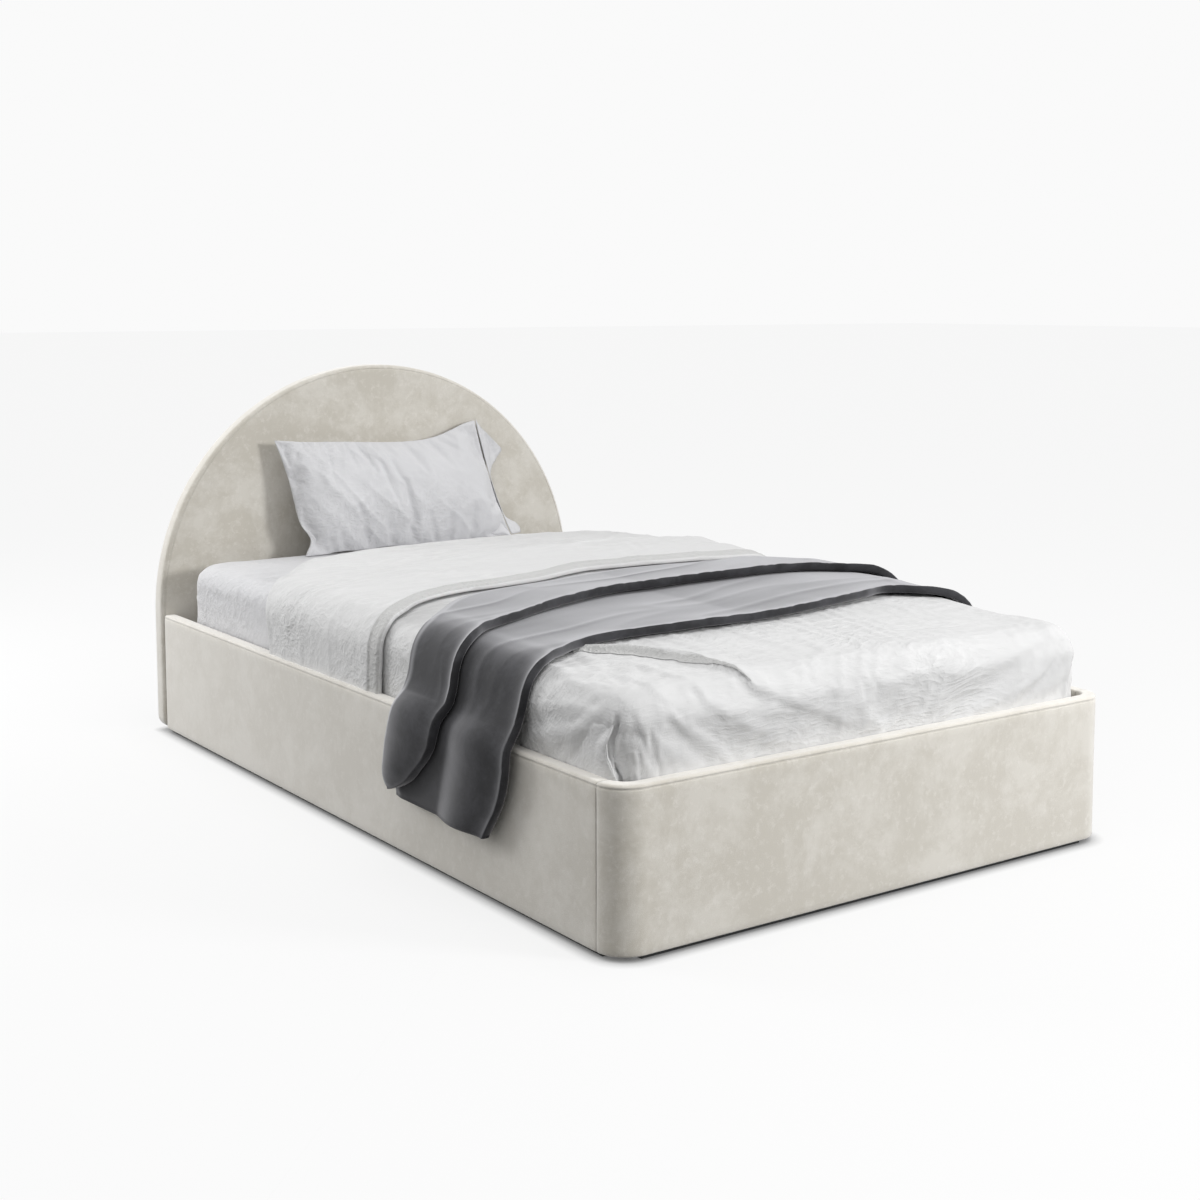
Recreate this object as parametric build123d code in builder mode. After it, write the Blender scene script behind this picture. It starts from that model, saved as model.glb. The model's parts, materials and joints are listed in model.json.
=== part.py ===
"""Upholstered single bed with an arched headboard, made up with its bedding.

Frame: X across the bed, Y towards the head, Z up.  The origin is on the floor,
under the middle of the bed's overall box.  All lengths are millimetres.
"""
import os
from math import cos, radians, sin

from build123d import *

os.makedirs("parts", exist_ok=True)

# main sizes
mattress_width = 1190.0
mattress_length = 1985.0
mattress_thickness = 200.0
mattress_bottom = 255.0      # height of the underside above the floor
side_gap = 13.0              # mattress to rail, each side
foot_gap = 13.0              # mattress to foot rail
head_gap = 62.0              # mattress to headboard
rail_thickness = 30.0        # finished, with foam and fabric
rail_top = 317.0
corner_radius = 64.0         # outer plan radius of the two foot corners
headboard_thickness = 50.0
headboard_overhang = 7.0     # headboard past the rails, each side
headboard_spring = 321.0     # height of the centre of the arch
floor_gap = 10.0             # fabric edge above the floor

# materials
board_thickness = 18.0
fabric_thickness = 2.0
top_foam = 6.0               # foam over the top edge of a rail
rim_foam = 6.0               # foam round the edge of the headboard
board_lift = 12.0            # boards above the floor, on their runners
runner_width = 12.0
inner_fold = 84.0            # fabric turned down inside the rail
top_round = 6.0
seam_drop = 8.0              # top seam under the rail's top
seam_width = 2.4
seam_depth = 1.2
seam_opening = 1.2           # where two covers are sewn together
headboard_round = 14.0       # front edge of the headboard
headboard_corner = 30.0      # its bottom corners
back_turn = 26.0             # fabric turned over the back
arch_seam_inset = 9.0        # seam ring inside the headboard's outline

# slatted base
tube_width = 25.0
tube_height = 40.0
tube_wall = 1.5
tube_top_drop = 15.0         # slat holders lie between tube and mattress
slat_rows = 14
slat_width = 53.0
slat_thickness = 8.0
slat_crown = 3.4
slat_end_margin = 62.0       # first slat's centre from the end of the base
holder_wall = 3.0
holder_length = 47.0         # across the bed
holder_overhang = 4.0        # past the slat, along the bed
holder_chamfer = 3.0
slat_seat = 0.3
slat_play = 0.9
slat_inset = 9.0             # slat end inside the holder's closed end
cleat_width = 30.0
cleat_height = 28.0
cleat_end_gap = 70.0
crossrail_height = 60.0
leg_count = 3
leg_diameter = 30.0
leg_plate = 70.0
leg_plate_thickness = 3.0
leg_foot_height = 14.0
leg_foot_diameter = 42.0
leg_foot_taper = 8.0         # degrees
leg_wall = 1.5

# fittings
bracket_thickness = 3.0
bracket_height = 100.0
bracket_bottom = 32.0
bracket_reach = 62.0
bolt_diameter = 8.0
bolt_head_diameter = 15.0    # across its corners
bolt_head_height = 5.3
bolt_play = 0.25
bolt_depth = 13.0            # shank in a rail board
bolt_edge = 24.0             # bolt centre from the bracket's end and edges

# bedding
mattress_corner = 85.0       # plan radius
mattress_top_round = 46.0
mattress_bottom_bevel = 12.0
sheet_thickness = 1.6
soft_clear = 0.3
duvet_top = 478.0            # crown of the lower layer
duvet_edge_drop = 12.0       # crown to the start of the rounded side
duvet_side_round = 62.0
duvet_foot_round = 62.0
duvet_rail_clear = 3.0
duvet_hem = 292.0            # lower edge, tucked inside the rails
bare_head = 268.0            # mattress's head end to the duvet's folded edge
hem_clear = 170.0            # turned-back layer's hem to the throw
fold_thickness = 20.0
fold_round = 16.0
throw_thickness = 8.0        # one folded layer
throw_place = 427.0          # mattress's foot end to the throw's edge
throw_width = 490.0
throw_rail_clear = 5.0       # outside the rail
throw_bend = 14.0            # over the rail's edge
throw_tuck = 21.0            # where it rises from the rail to the duvet
throw_low = 118.0            # lowest hem of the hanging end
throw_drift = 110.0          # the hanging end slants towards the foot
throw_hem_rise = 30.0        # its hem climbs towards the head
throw_fold_depth = 5.0       # folds of the hanging end
throw_fold_count = 3
throw_upper_low = 150.0      # hem of the upper layer
throw_upper_round = 60.0
throw_slip_shares = (0.41, 0.84)   # upper layer's slanting edge, near and far side
pillow_width = 700.0
pillow_height = 372.0
pillow_thickness = 140.0
pillow_draw_in = 22.0
pillow_corner = 18.0
pillow_tilt = 17.0           # degrees off the upright
pillow_offset = 10.0         # across the bed
pillow_seam = 16.0           # thickness at its sewn edge
pillow_swell_shares = ((0.05, 0.55), (0.20, 0.88))   # inwards from the edge, of full thickness
pillow_sink = 16.0           # bottom edge pressed flat by its own weight

overrun = 20.0

# derived
opening_width = mattress_width + 2 * side_gap
opening_length = mattress_length + foot_gap + head_gap
frame_width = opening_width + 2 * rail_thickness
frame_length = opening_length + rail_thickness
overall_length = frame_length + headboard_thickness
foot_y = -overall_length / 2
front_y = foot_y + frame_length
back_y = overall_length / 2
rail_out = frame_width / 2
rail_in = opening_width / 2
foot_in = foot_y + rail_thickness
corner_y = foot_y + corner_radius
board_in = rail_in + bracket_thickness
board_out = board_in + board_thickness
foam_out = rail_out - fabric_thickness
board_top = rail_top - fabric_thickness - top_foam
foot_board_in = foot_y + (rail_out - board_in)
foot_board_out = foot_y + (rail_out - board_out)
fold_low = rail_top - inner_fold
headboard_half = rail_out + headboard_overhang
headboard_top = headboard_spring + headboard_half
mattress_foot = foot_in + foot_gap
mattress_head = mattress_foot + mattress_length
mattress_mid = (mattress_foot + mattress_head) / 2
mattress_top = mattress_bottom + mattress_thickness
sheet_top = mattress_top + sheet_thickness
tube_top = mattress_bottom - tube_top_drop
tube_bottom = tube_top - tube_height
base_half = mattress_width / 2
duvet_head = mattress_head - bare_head
throw_foot = mattress_foot + throw_place
throw_head = throw_foot + throw_width
throw_upper_near = throw_foot + throw_width * throw_slip_shares[0]
throw_upper_far = throw_foot + throw_width * throw_slip_shares[1]
fold_hem = throw_head + hem_clear


def save(builder, name, colour):
    """Label, colour and write one sub-part."""
    builder.part.label = name
    builder.part.color = Color(*colour)
    export_step(builder.part, os.path.join("parts", name + ".step"))


fabric_colour = (0.72, 0.69, 0.64)
foam_colour = (0.93, 0.87, 0.62)
board_colour = (0.70, 0.55, 0.38)
wood_colour = (0.85, 0.72, 0.52)
steel_colour = (0.25, 0.26, 0.28)
zinc_colour = (0.66, 0.68, 0.70)
black_colour = (0.06, 0.06, 0.06)
white_colour = (0.93, 0.93, 0.94)
grey_colour = (0.45, 0.45, 0.47)


# rail sections
# A section is drawn with u = distance from the rail's outer face inwards and
# v = height, so one outline serves the straight sides and the curved foot.
def cover_section():
    """Fabric over the rail: outer face, top, inside fold and bottom turn."""
    wall = fabric_thickness
    inner = rail_thickness
    under = rail_out - board_in - runner_width
    seam = rail_top - seam_drop
    with BuildLine() as line:
        Polyline(
            (0, floor_gap),
            (0, seam - seam_width / 2),
            (seam_depth, seam),
            (0, seam + seam_width / 2),
            (0, rail_top - top_round + seam_depth),
        )
        RadiusArc((0, rail_top - top_round + seam_depth), (top_round - seam_depth, rail_top),
                  top_round - seam_depth)
        Polyline(
            (top_round - seam_depth, rail_top),
            (inner, rail_top),
            (inner, fold_low),
            (inner - bracket_thickness, fold_low),
            (inner - bracket_thickness, rail_top - wall),
            (wall, rail_top - wall),
            (wall, board_lift),
            (under, board_lift),
            (under, floor_gap),
            (0, floor_gap),
        )
    make_face(line.edges())


def foam_section():
    """Foam over the board's outer face and top edge."""
    outer = rail_out - board_out
    inner = rail_out - board_in
    with BuildLine() as line:
        Polyline(
            (fabric_thickness, board_lift),
            (fabric_thickness, rail_top - fabric_thickness),
            (inner, rail_top - fabric_thickness),
            (inner, board_top),
            (outer, board_top),
            (outer, board_lift),
            (fabric_thickness, board_lift),
        )
    make_face(line.edges())


def side_plane(side, along):
    """Section plane of a side rail: local x points inwards, local y up."""
    return Plane(origin=(side * rail_out, along, 0), x_dir=(-side, 0, 0), z_dir=(0, side, 0))


def foot_path():
    """Outer line of the foot rail with its two rounded corners."""
    straight = rail_out - corner_radius
    diagonal = corner_radius * (1 - cos(radians(45)))
    with BuildLine() as path:
        ThreePointArc((-rail_out, corner_y), (-rail_out + diagonal, foot_y + diagonal),
                      (-straight, foot_y))
        Line((-straight, foot_y), (straight, foot_y))
        ThreePointArc((straight, foot_y), (rail_out - diagonal, foot_y + diagonal),
                      (rail_out, corner_y))
    return path.line


bolt_heights = (bracket_bottom + bolt_edge, bracket_bottom + bracket_height - bolt_edge)
rail_bolt_z = bracket_bottom + bracket_height / 2
side_bolt_foot_y = corner_y + bracket_thickness + bracket_reach - bolt_edge
side_bolt_head_y = front_y - bracket_reach + bolt_edge
foot_bolt_x = rail_out - corner_radius - bracket_reach + bolt_edge
head_bolt_x = board_in - bracket_reach + bolt_edge
bolt_hole = bolt_diameter + 2 * bolt_play

for side, word in ((-1, "left"), (1, "right")):
    # fabric cover of the side rail, from the foot corner's seam to the headboard
    with BuildPart() as rail_cover:
        with BuildSketch(side_plane(side, corner_y + seam_opening if side > 0 else front_y)):
            cover_section()
        extrude(amount=front_y - corner_y - seam_opening)
    save(rail_cover, word + "_rail_cover", fabric_colour)

    with BuildPart() as rail_foam:
        with BuildSketch(side_plane(side, corner_y if side > 0 else front_y)):
            foam_section()
        extrude(amount=front_y - corner_y)
    save(rail_foam, word + "_rail_foam", foam_colour)

    # board of the side rail, drilled for the corner fittings
    with BuildPart() as rail_board:
        with BuildSketch(Plane.XY.offset(board_lift)):
            with Locations((side * (board_in + board_out) / 2, (corner_y + front_y) / 2)):
                Rectangle(board_thickness, front_y - corner_y)
        extrude(amount=board_top - board_lift)
        for bolt_y in (side_bolt_foot_y, side_bolt_head_y):
            with BuildSketch(Plane(origin=(side * board_in, bolt_y, rail_bolt_z),
                                   z_dir=(side, 0, 0))):
                Circle(bolt_hole / 2)
            extrude(amount=bolt_depth + bolt_play, mode=Mode.SUBTRACT)
    save(rail_board, word + "_rail_board", board_colour)

    # dark runner strip that keeps the rail off the floor
    with BuildPart() as rail_runner:
        with BuildSketch():
            with Locations((side * (board_in + runner_width / 2), (corner_y + front_y) / 2)):
                Rectangle(runner_width, front_y - corner_y)
        extrude(amount=board_lift)
    save(rail_runner, word + "_rail_runner", black_colour)

    # cleat that carries the slatted base
    with BuildPart() as cleat:
        with BuildSketch(Plane.XY.offset(tube_bottom - cleat_height)):
            with Locations((side * (board_in - cleat_width / 2), mattress_mid)):
                Rectangle(cleat_width, mattress_length - 2 * cleat_end_gap)
        extrude(amount=cleat_height)
        chamfer(cleat.edges().filter_by(Axis.Y).group_by(Axis.Z)[0].sort_by(
            Axis.X, reverse=side > 0)[-1], cleat_height / 4)
    save(cleat, word + "_cleat", wood_colour)

# foot rail
with BuildPart() as foot_cover:
    with BuildSketch(Plane(origin=(-rail_out, corner_y, 0), x_dir=(1, 0, 0), z_dir=(0, -1, 0))):
        cover_section()
    sweep(path=foot_path())
save(foot_cover, "foot_rail_cover", fabric_colour)

with BuildPart() as foot_foam:
    with BuildSketch(Plane(origin=(-rail_out, corner_y, 0), x_dir=(1, 0, 0), z_dir=(0, -1, 0))):
        foam_section()
    sweep(path=foot_path())
save(foot_foam, "foot_rail_foam", foam_colour)

with BuildPart() as foot_board:
    with BuildSketch(Plane.XY.offset(board_lift)):
        with Locations((0, (foot_board_in + foot_board_out) / 2)):
            Rectangle(2 * (rail_out - corner_radius), board_thickness)
    extrude(amount=board_top - board_lift)
    for side in (-1, 1):
        with BuildSketch(Plane(origin=(side * foot_bolt_x, foot_board_in, rail_bolt_z),
                               z_dir=(0, -1, 0))):
            Circle(bolt_hole / 2)
        extrude(amount=bolt_depth + bolt_play, mode=Mode.SUBTRACT)
save(foot_board, "foot_rail_board", board_colour)

with BuildPart() as foot_runner:
    with BuildSketch():
        with Locations((0, foot_board_in - runner_width / 2)):
            Rectangle(2 * (rail_out - corner_radius), runner_width)
    extrude(amount=board_lift)
save(foot_runner, "foot_rail_runner", black_colour)

# quarter-round posts that carry the foam round the two foot corners
post_radius = corner_radius - (rail_out - board_out)


def post_plan(inner):
    """Quarter circles outside the ends of the boards, hollow up to a radius."""
    with BuildSketch() as plan:
        for side in (-1, 1):
            with Locations((side * (rail_out - corner_radius), corner_y)):
                Circle(post_radius)
                if inner:
                    Circle(inner, mode=Mode.SUBTRACT)
        with Locations((0, corner_y)):
            Rectangle(2 * (rail_out - corner_radius), 2 * post_radius, mode=Mode.SUBTRACT)
        with Locations((0, corner_y + post_radius)):
            Rectangle(2 * rail_out, 2 * post_radius, mode=Mode.SUBTRACT)
    return plan.sketch


with BuildPart() as corner_posts:
    with BuildSketch(Plane.XY.offset(board_lift)):
        add(post_plan(0))
    extrude(amount=tube_bottom - cleat_height - board_lift)
    with BuildSketch(Plane.XY.offset(board_lift)):
        add(post_plan(post_radius - board_thickness))
    extrude(amount=board_top - board_lift)
save(corner_posts, "corner_posts", wood_colour)

# corner fittings
step_out = rail_out - corner_radius
half = bracket_thickness / 2
with BuildPart() as foot_brackets:
    with BuildSketch(Plane.XY.offset(bracket_bottom)):
        for side in (-1, 1):
            with BuildLine():
                Polyline(
                    (side * (board_in - half), corner_y + bracket_thickness + bracket_reach),
                    (side * (board_in - half), corner_y + half),
                    (side * (step_out - half), corner_y + half),
                    (side * (step_out - half), foot_board_in + half),
                    (side * (step_out - bracket_reach), foot_board_in + half),
                )
            trace(line_width=bracket_thickness)
    extrude(amount=bracket_height)
    for side in (-1, 1):
        with BuildSketch(Plane(origin=(side * (rail_in - overrun / 4), side_bolt_foot_y,
                                       rail_bolt_z), z_dir=(side, 0, 0))):
            Circle(bolt_hole / 2)
        extrude(amount=overrun, mode=Mode.SUBTRACT)
        with BuildSketch(Plane(origin=(side * foot_bolt_x, foot_in + overrun / 4, rail_bolt_z),
                               z_dir=(0, -1, 0))):
            Circle(bolt_hole / 2)
        extrude(amount=overrun, mode=Mode.SUBTRACT)
save(foot_brackets, "foot_corner_brackets", zinc_colour)

with BuildPart() as head_brackets:
    with BuildSketch(Plane.XY.offset(bracket_bottom)):
        for side in (-1, 1):
            with BuildLine():
                Polyline(
                    (side * (board_in - half), front_y - bracket_reach),
                    (side * (board_in - half), front_y - half),
                    (side * (board_in - bracket_reach), front_y - half),
                )
            trace(line_width=bracket_thickness)
    extrude(amount=bracket_height)
    for side in (-1, 1):
        with BuildSketch(Plane(origin=(side * (rail_in - overrun / 4), side_bolt_head_y,
                                       rail_bolt_z), z_dir=(side, 0, 0))):
            Circle(bolt_hole / 2)
        extrude(amount=overrun, mode=Mode.SUBTRACT)
        for bolt_z in bolt_heights:
            with BuildSketch(Plane(origin=(side * head_bolt_x, front_y - overrun / 2, bolt_z),
                                   z_dir=(0, 1, 0))):
                Circle(bolt_hole / 2)
            extrude(amount=overrun, mode=Mode.SUBTRACT)
save(head_brackets, "head_corner_brackets", zinc_colour)


def bolt(place, direction, shank):
    """One hexagon bolt: head on the bracket's face, shank into the wood."""
    with BuildSketch(Plane(origin=place, z_dir=direction)) as stem:
        Circle(bolt_diameter / 2)
    extrude(stem.sketch, amount=shank)
    with BuildSketch(Plane(origin=place, z_dir=direction)) as head:
        RegularPolygon(bolt_head_diameter / 2, side_count=6)
    extrude(head.sketch, amount=-bolt_head_height)


side_shank = bracket_thickness + bolt_depth
foam_depth = headboard_thickness - 2 * fabric_thickness - board_thickness
head_shank = bracket_thickness + fabric_thickness + foam_depth + bolt_depth
with BuildPart() as rail_bolts:
    for side in (-1, 1):
        bolt((side * rail_in, side_bolt_foot_y, rail_bolt_z), (side, 0, 0), side_shank)
        bolt((side * rail_in, side_bolt_head_y, rail_bolt_z), (side, 0, 0), side_shank)
        bolt((side * foot_bolt_x, foot_in, rail_bolt_z), (0, -1, 0), side_shank)
save(rail_bolts, "rail_bolts", zinc_colour)

with BuildPart() as headboard_bolts:
    for side in (-1, 1):
        for bolt_z in bolt_heights:
            bolt((side * head_bolt_x, front_y - bracket_thickness, bolt_z), (0, 1, 0), head_shank)
save(headboard_bolts, "headboard_bolts", zinc_colour)


# headboard
def arch(inset):
    """Outline of the headboard drawn in by a distance: a half circle on legs."""
    half_width = headboard_half - inset
    low = floor_gap + inset
    with Locations((0, headboard_spring)):
        Circle(half_width)
    with Locations((0, (headboard_spring + low) / 2)):
        Rectangle(2 * half_width, headboard_spring - low)
    with Locations((0, low - half_width)):
        Rectangle(2 * headboard_half, 2 * half_width, mode=Mode.SUBTRACT)


def arch_block(inset, near, far, corner):
    """Arch-shaped slab between two places along the bed."""
    with BuildSketch(Plane.XZ.offset(-far)) as outline:
        arch(inset)
        fillet(outline.vertices().group_by(Axis.Z)[0], corner)
    extrude(outline.sketch, amount=far - near)


headboard_bolt_places = [(side * head_bolt_x, z) for side in (-1, 1) for z in bolt_heights]


def drill_headboard(near, far):
    for hole_x, hole_z in headboard_bolt_places:
        with BuildSketch(Plane.XZ.offset(-far)) as hole:
            with Locations((hole_x, hole_z)):
                Circle(bolt_hole / 2)
        extrude(hole.sketch, amount=far - near, mode=Mode.SUBTRACT)


headboard_inner = fabric_thickness + rim_foam
foam_bevel = headboard_round / 2 + fabric_thickness
board_front = back_y - fabric_thickness - board_thickness
board_back = back_y - fabric_thickness

with BuildPart() as headboard_cover:
    arch_block(0, front_y, back_y, headboard_corner)
    fillet(headboard_cover.faces().sort_by(Axis.Y)[0].edges(), headboard_round)
    # seam ring just inside the front edge
    with BuildSketch(Plane.XZ.offset(-front_y)) as ring:
        arch(headboard_round + arch_seam_inset)
        fillet(ring.vertices().group_by(Axis.Z)[0], headboard_corner)
        arch_inner = headboard_round + arch_seam_inset + seam_width
        with Locations((0, headboard_spring)):
            Circle(headboard_half - arch_inner, mode=Mode.SUBTRACT)
        with Locations((0, (headboard_spring + floor_gap + arch_inner) / 2)):
            Rectangle(2 * (headboard_half - arch_inner),
                      headboard_spring - floor_gap - arch_inner, mode=Mode.SUBTRACT)
    extrude(amount=-seam_depth, mode=Mode.SUBTRACT)
    with BuildPart(mode=Mode.PRIVATE) as inside:
        arch_block(fabric_thickness, front_y + fabric_thickness, board_back,
                   headboard_corner - fabric_thickness)
        chamfer(inside.faces().sort_by(Axis.Y)[0].edges(), foam_bevel)
    add(inside.part, mode=Mode.SUBTRACT)
    with BuildSketch(Plane.XZ.offset(-back_y)):
        arch(back_turn)
    extrude(amount=fabric_thickness, mode=Mode.SUBTRACT)
    drill_headboard(front_y, front_y + fabric_thickness)
save(headboard_cover, "headboard_cover", fabric_colour)

with BuildPart() as headboard_foam:
    arch_block(fabric_thickness, front_y + fabric_thickness, board_back,
               headboard_corner - fabric_thickness)
    chamfer(headboard_foam.faces().sort_by(Axis.Y)[0].edges(), foam_bevel)
    with BuildSketch(Plane.XZ.offset(-board_back)) as hollow:
        arch(headboard_inner)
        fillet(hollow.vertices().group_by(Axis.Z)[0], headboard_corner - headboard_inner)
    extrude(amount=board_thickness, mode=Mode.SUBTRACT)
    drill_headboard(front_y + fabric_thickness, board_front)
save(headboard_foam, "headboard_foam", foam_colour)

with BuildPart() as headboard_board:
    arch_block(headboard_inner, board_front, board_back, headboard_corner - headboard_inner)
    drill_headboard(board_front, board_front + bolt_depth + bolt_play)
save(headboard_board, "headboard_board", board_colour)

with BuildPart() as back_cloth:
    with BuildSketch(Plane.XZ.offset(-back_y)):
        arch(back_turn)
    extrude(amount=fabric_thickness)
save(back_cloth, "headboard_back_cloth", black_colour)

# runner under the headboard: it fits through the turned fabric into the foam
with BuildPart() as headboard_runner:
    with BuildSketch():
        with Locations((0, (front_y + back_y) / 2)):
            Rectangle(2 * (headboard_half - 2 * headboard_corner), runner_width)
    extrude(amount=floor_gap)
save(headboard_runner, "headboard_runner", black_colour)

# slatted base
base_foot = mattress_foot
base_head = mattress_head
tube_inner = tube_width - 2 * tube_wall


def tube(section_plane, length):
    """Rectangular steel tube from a plane, open at both ends."""
    with BuildSketch(section_plane) as section:
        Rectangle(tube_width, tube_height)
        Rectangle(tube_inner, tube_height - 2 * tube_wall, mode=Mode.SUBTRACT)
    extrude(section.sketch, amount=length)


tube_mid_z = (tube_top + tube_bottom) / 2
for name, tube_x in (("base_left_tube", -base_half + tube_width / 2),
                     ("base_right_tube", base_half - tube_width / 2)):
    with BuildPart() as side_tube:
        tube(Plane(origin=(tube_x, base_head, tube_mid_z), x_dir=(1, 0, 0), z_dir=(0, -1, 0)),
             base_head - base_foot)
    save(side_tube, name, steel_colour)

with BuildPart() as spine:
    tube(Plane(origin=(0, base_head - tube_width, tube_mid_z), x_dir=(1, 0, 0), z_dir=(0, -1, 0)),
         base_head - base_foot - 2 * tube_width)
save(spine, "base_spine_tube", steel_colour)

for name, tube_y in (("base_foot_tube", base_foot + tube_width / 2),
                     ("base_head_tube", base_head - tube_width / 2)):
    with BuildPart() as end_tube:
        tube(Plane(origin=(-base_half + tube_width, tube_y, tube_mid_z),
                   x_dir=(0, 1, 0), z_dir=(1, 0, 0)),
             2 * (base_half - tube_width))
    save(end_tube, name, steel_colour)

slat_pitch = (base_head - base_foot - 2 * slat_end_margin) / (slat_rows - 1)
slat_places = [base_foot + slat_end_margin + i * slat_pitch for i in range(slat_rows)]
slat_bottom = tube_top + holder_wall + slat_seat
slat_outer = base_half - slat_inset
slat_inner = slat_inset
slat_mid = (slat_inner + slat_outer) / 2
holder_half = slat_width / 2 + holder_overhang
pocket_height = slat_seat + slat_thickness + slat_play

for side, word in ((-1, "left"), (1, "right")):
    # sprung slats: bent up a little in the middle, where the mattress lies on them
    with BuildPart() as slats:
        for slat_y in slat_places:
            with BuildSketch(Plane.XZ.offset(-(slat_y + slat_width / 2))):
                with BuildLine():
                    ends = (side * slat_inner, side * slat_outer)
                    ThreePointArc((ends[0], slat_bottom), (side * slat_mid, slat_bottom + slat_crown),
                                  (ends[1], slat_bottom))
                    Line((ends[1], slat_bottom), (ends[1], slat_bottom + slat_thickness))
                    ThreePointArc((ends[1], slat_bottom + slat_thickness),
                                  (side * slat_mid, slat_bottom + slat_thickness + slat_crown),
                                  (ends[0], slat_bottom + slat_thickness))
                    Line((ends[0], slat_bottom + slat_thickness), (ends[0], slat_bottom))
                make_face()
            extrude(amount=slat_width)
    save(slats, word + "_slats", wood_colour)

    # outer slat holders: caps on the side tube, open towards the middle
    with BuildPart() as holders:
        with BuildSketch(Plane.XY.offset(tube_top)) as holder_plan:
            with Locations(*[(side * (base_half - holder_length / 2), y) for y in slat_places]):
                Rectangle(holder_length, 2 * holder_half)
            chamfer(holder_plan.vertices(), holder_chamfer)
        extrude(amount=tube_top_drop)
        with BuildSketch(Plane.XY.offset(slat_bottom - slat_seat)):
            pocket = holder_length - slat_inset + slat_seat
            with Locations(*[(side * (base_half - slat_inset + slat_seat - (pocket + overrun) / 2), y)
                             for y in slat_places]):
                Rectangle(pocket + overrun, slat_width + 2 * slat_seat)
        extrude(amount=pocket_height, mode=Mode.SUBTRACT)
    save(holders, word + "_slat_holders", black_colour)

with BuildPart() as centre_holders:
    with BuildSketch(Plane.XY.offset(tube_top)) as holder_plan:
        with Locations(*[(0, y) for y in slat_places]):
            Rectangle(2 * holder_length, 2 * holder_half)
        chamfer(holder_plan.vertices(), holder_chamfer)
    extrude(amount=tube_top_drop)
    with BuildSketch(Plane.XY.offset(slat_bottom - slat_seat)):
        with Locations(*[(0, y) for y in slat_places]):
            Rectangle(2 * (holder_length + overrun), slat_width + 2 * slat_seat)
        with Locations(*[(0, y) for y in slat_places]):
            Rectangle(2 * (slat_inset - slat_seat), 2 * holder_half, mode=Mode.SUBTRACT)
    extrude(amount=pocket_height, mode=Mode.SUBTRACT)
save(centre_holders, "centre_slat_holders", black_colour)

# cross rail under the head end and cleat along the foot rail
with BuildPart() as crossrail:
    with BuildSketch(Plane.XY.offset(tube_bottom - crossrail_height)):
        with Locations((0, base_head - tube_width / 2)):
            Rectangle(2 * board_in, tube_width)
    extrude(amount=crossrail_height)
save(crossrail, "head_crossrail", wood_colour)

with BuildPart() as foot_cleat:
    with BuildSketch(Plane.XY.offset(tube_bottom - cleat_height)):
        with Locations((0, foot_board_in + cleat_width / 2)):
            Rectangle(2 * (rail_out - corner_radius - cleat_end_gap), cleat_width)
    extrude(amount=cleat_height)
    chamfer(foot_cleat.edges().filter_by(Axis.X).group_by(Axis.Z)[0].sort_by(Axis.Y)[-1],
            cleat_height / 4)
save(foot_cleat, "foot_cleat", wood_colour)

# middle legs under the spine
leg_step = (base_head - base_foot) / (leg_count + 1)
leg_places = [base_foot + (i + 1) * leg_step for i in range(leg_count)]
with BuildPart() as legs:
    with BuildSketch(Plane.XY.offset(tube_bottom - leg_plate_thickness)) as plates:
        with Locations(*[(0, y) for y in leg_places]):
            Rectangle(leg_plate, leg_plate)
        chamfer(plates.vertices(), leg_plate / 10)
    extrude(amount=leg_plate_thickness)
    with BuildSketch(Plane.XY.offset(leg_foot_height / 2)):
        with Locations(*[(0, y) for y in leg_places]):
            Circle(leg_diameter / 2)
            Circle(leg_diameter / 2 - leg_wall, mode=Mode.SUBTRACT)
    extrude(amount=tube_bottom - leg_plate_thickness - leg_foot_height / 2)
save(legs, "middle_legs", steel_colour)

with BuildPart() as leg_feet:
    with BuildSketch():
        with Locations(*[(0, y) for y in leg_places]):
            Circle(leg_foot_diameter / 2)
    extrude(amount=leg_foot_height, taper=leg_foot_taper)
    with BuildSketch(Plane.XY.offset(leg_foot_height)):
        with Locations(*[(0, y) for y in leg_places]):
            Circle(leg_diameter / 2)
    extrude(amount=-leg_foot_height / 2, mode=Mode.SUBTRACT)
save(leg_feet, "middle_leg_feet", black_colour)


# mattress and sheet
def mattress_form(grow, low):
    """The mattress's rounded block, grown by a distance, from a height up."""
    with BuildSketch(Plane.XY.offset(low)) as plan:
        with Locations((0, mattress_mid)):
            RectangleRounded(mattress_width + 2 * grow, mattress_length + 2 * grow,
                             mattress_corner + grow)
    extrude(plan.sketch, amount=mattress_top + grow - low)


def round_top(builder, grow):
    fillet(builder.faces().sort_by(Axis.Z)[-1].edges(), mattress_top_round + grow)


with BuildPart() as mattress:
    mattress_form(0, mattress_bottom)
    round_top(mattress, 0)
    chamfer(mattress.faces().sort_by(Axis.Z)[0].edges(), mattress_bottom_bevel)
save(mattress, "mattress", white_colour)

sheet_low = mattress_bottom + mattress_bottom_bevel
with BuildPart() as sheet:
    mattress_form(sheet_thickness, sheet_low)
    round_top(sheet, sheet_thickness)
    with BuildPart(mode=Mode.PRIVATE) as sheet_core:
        mattress_form(0, sheet_low)
        round_top(sheet_core, 0)
    add(sheet_core.part, mode=Mode.SUBTRACT)
save(sheet, "fitted_sheet", white_colour)

# duvet
duvet_half = rail_in - duvet_rail_clear
duvet_foot = foot_in + duvet_rail_clear
diagonal_share = 1 - cos(radians(45))


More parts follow.
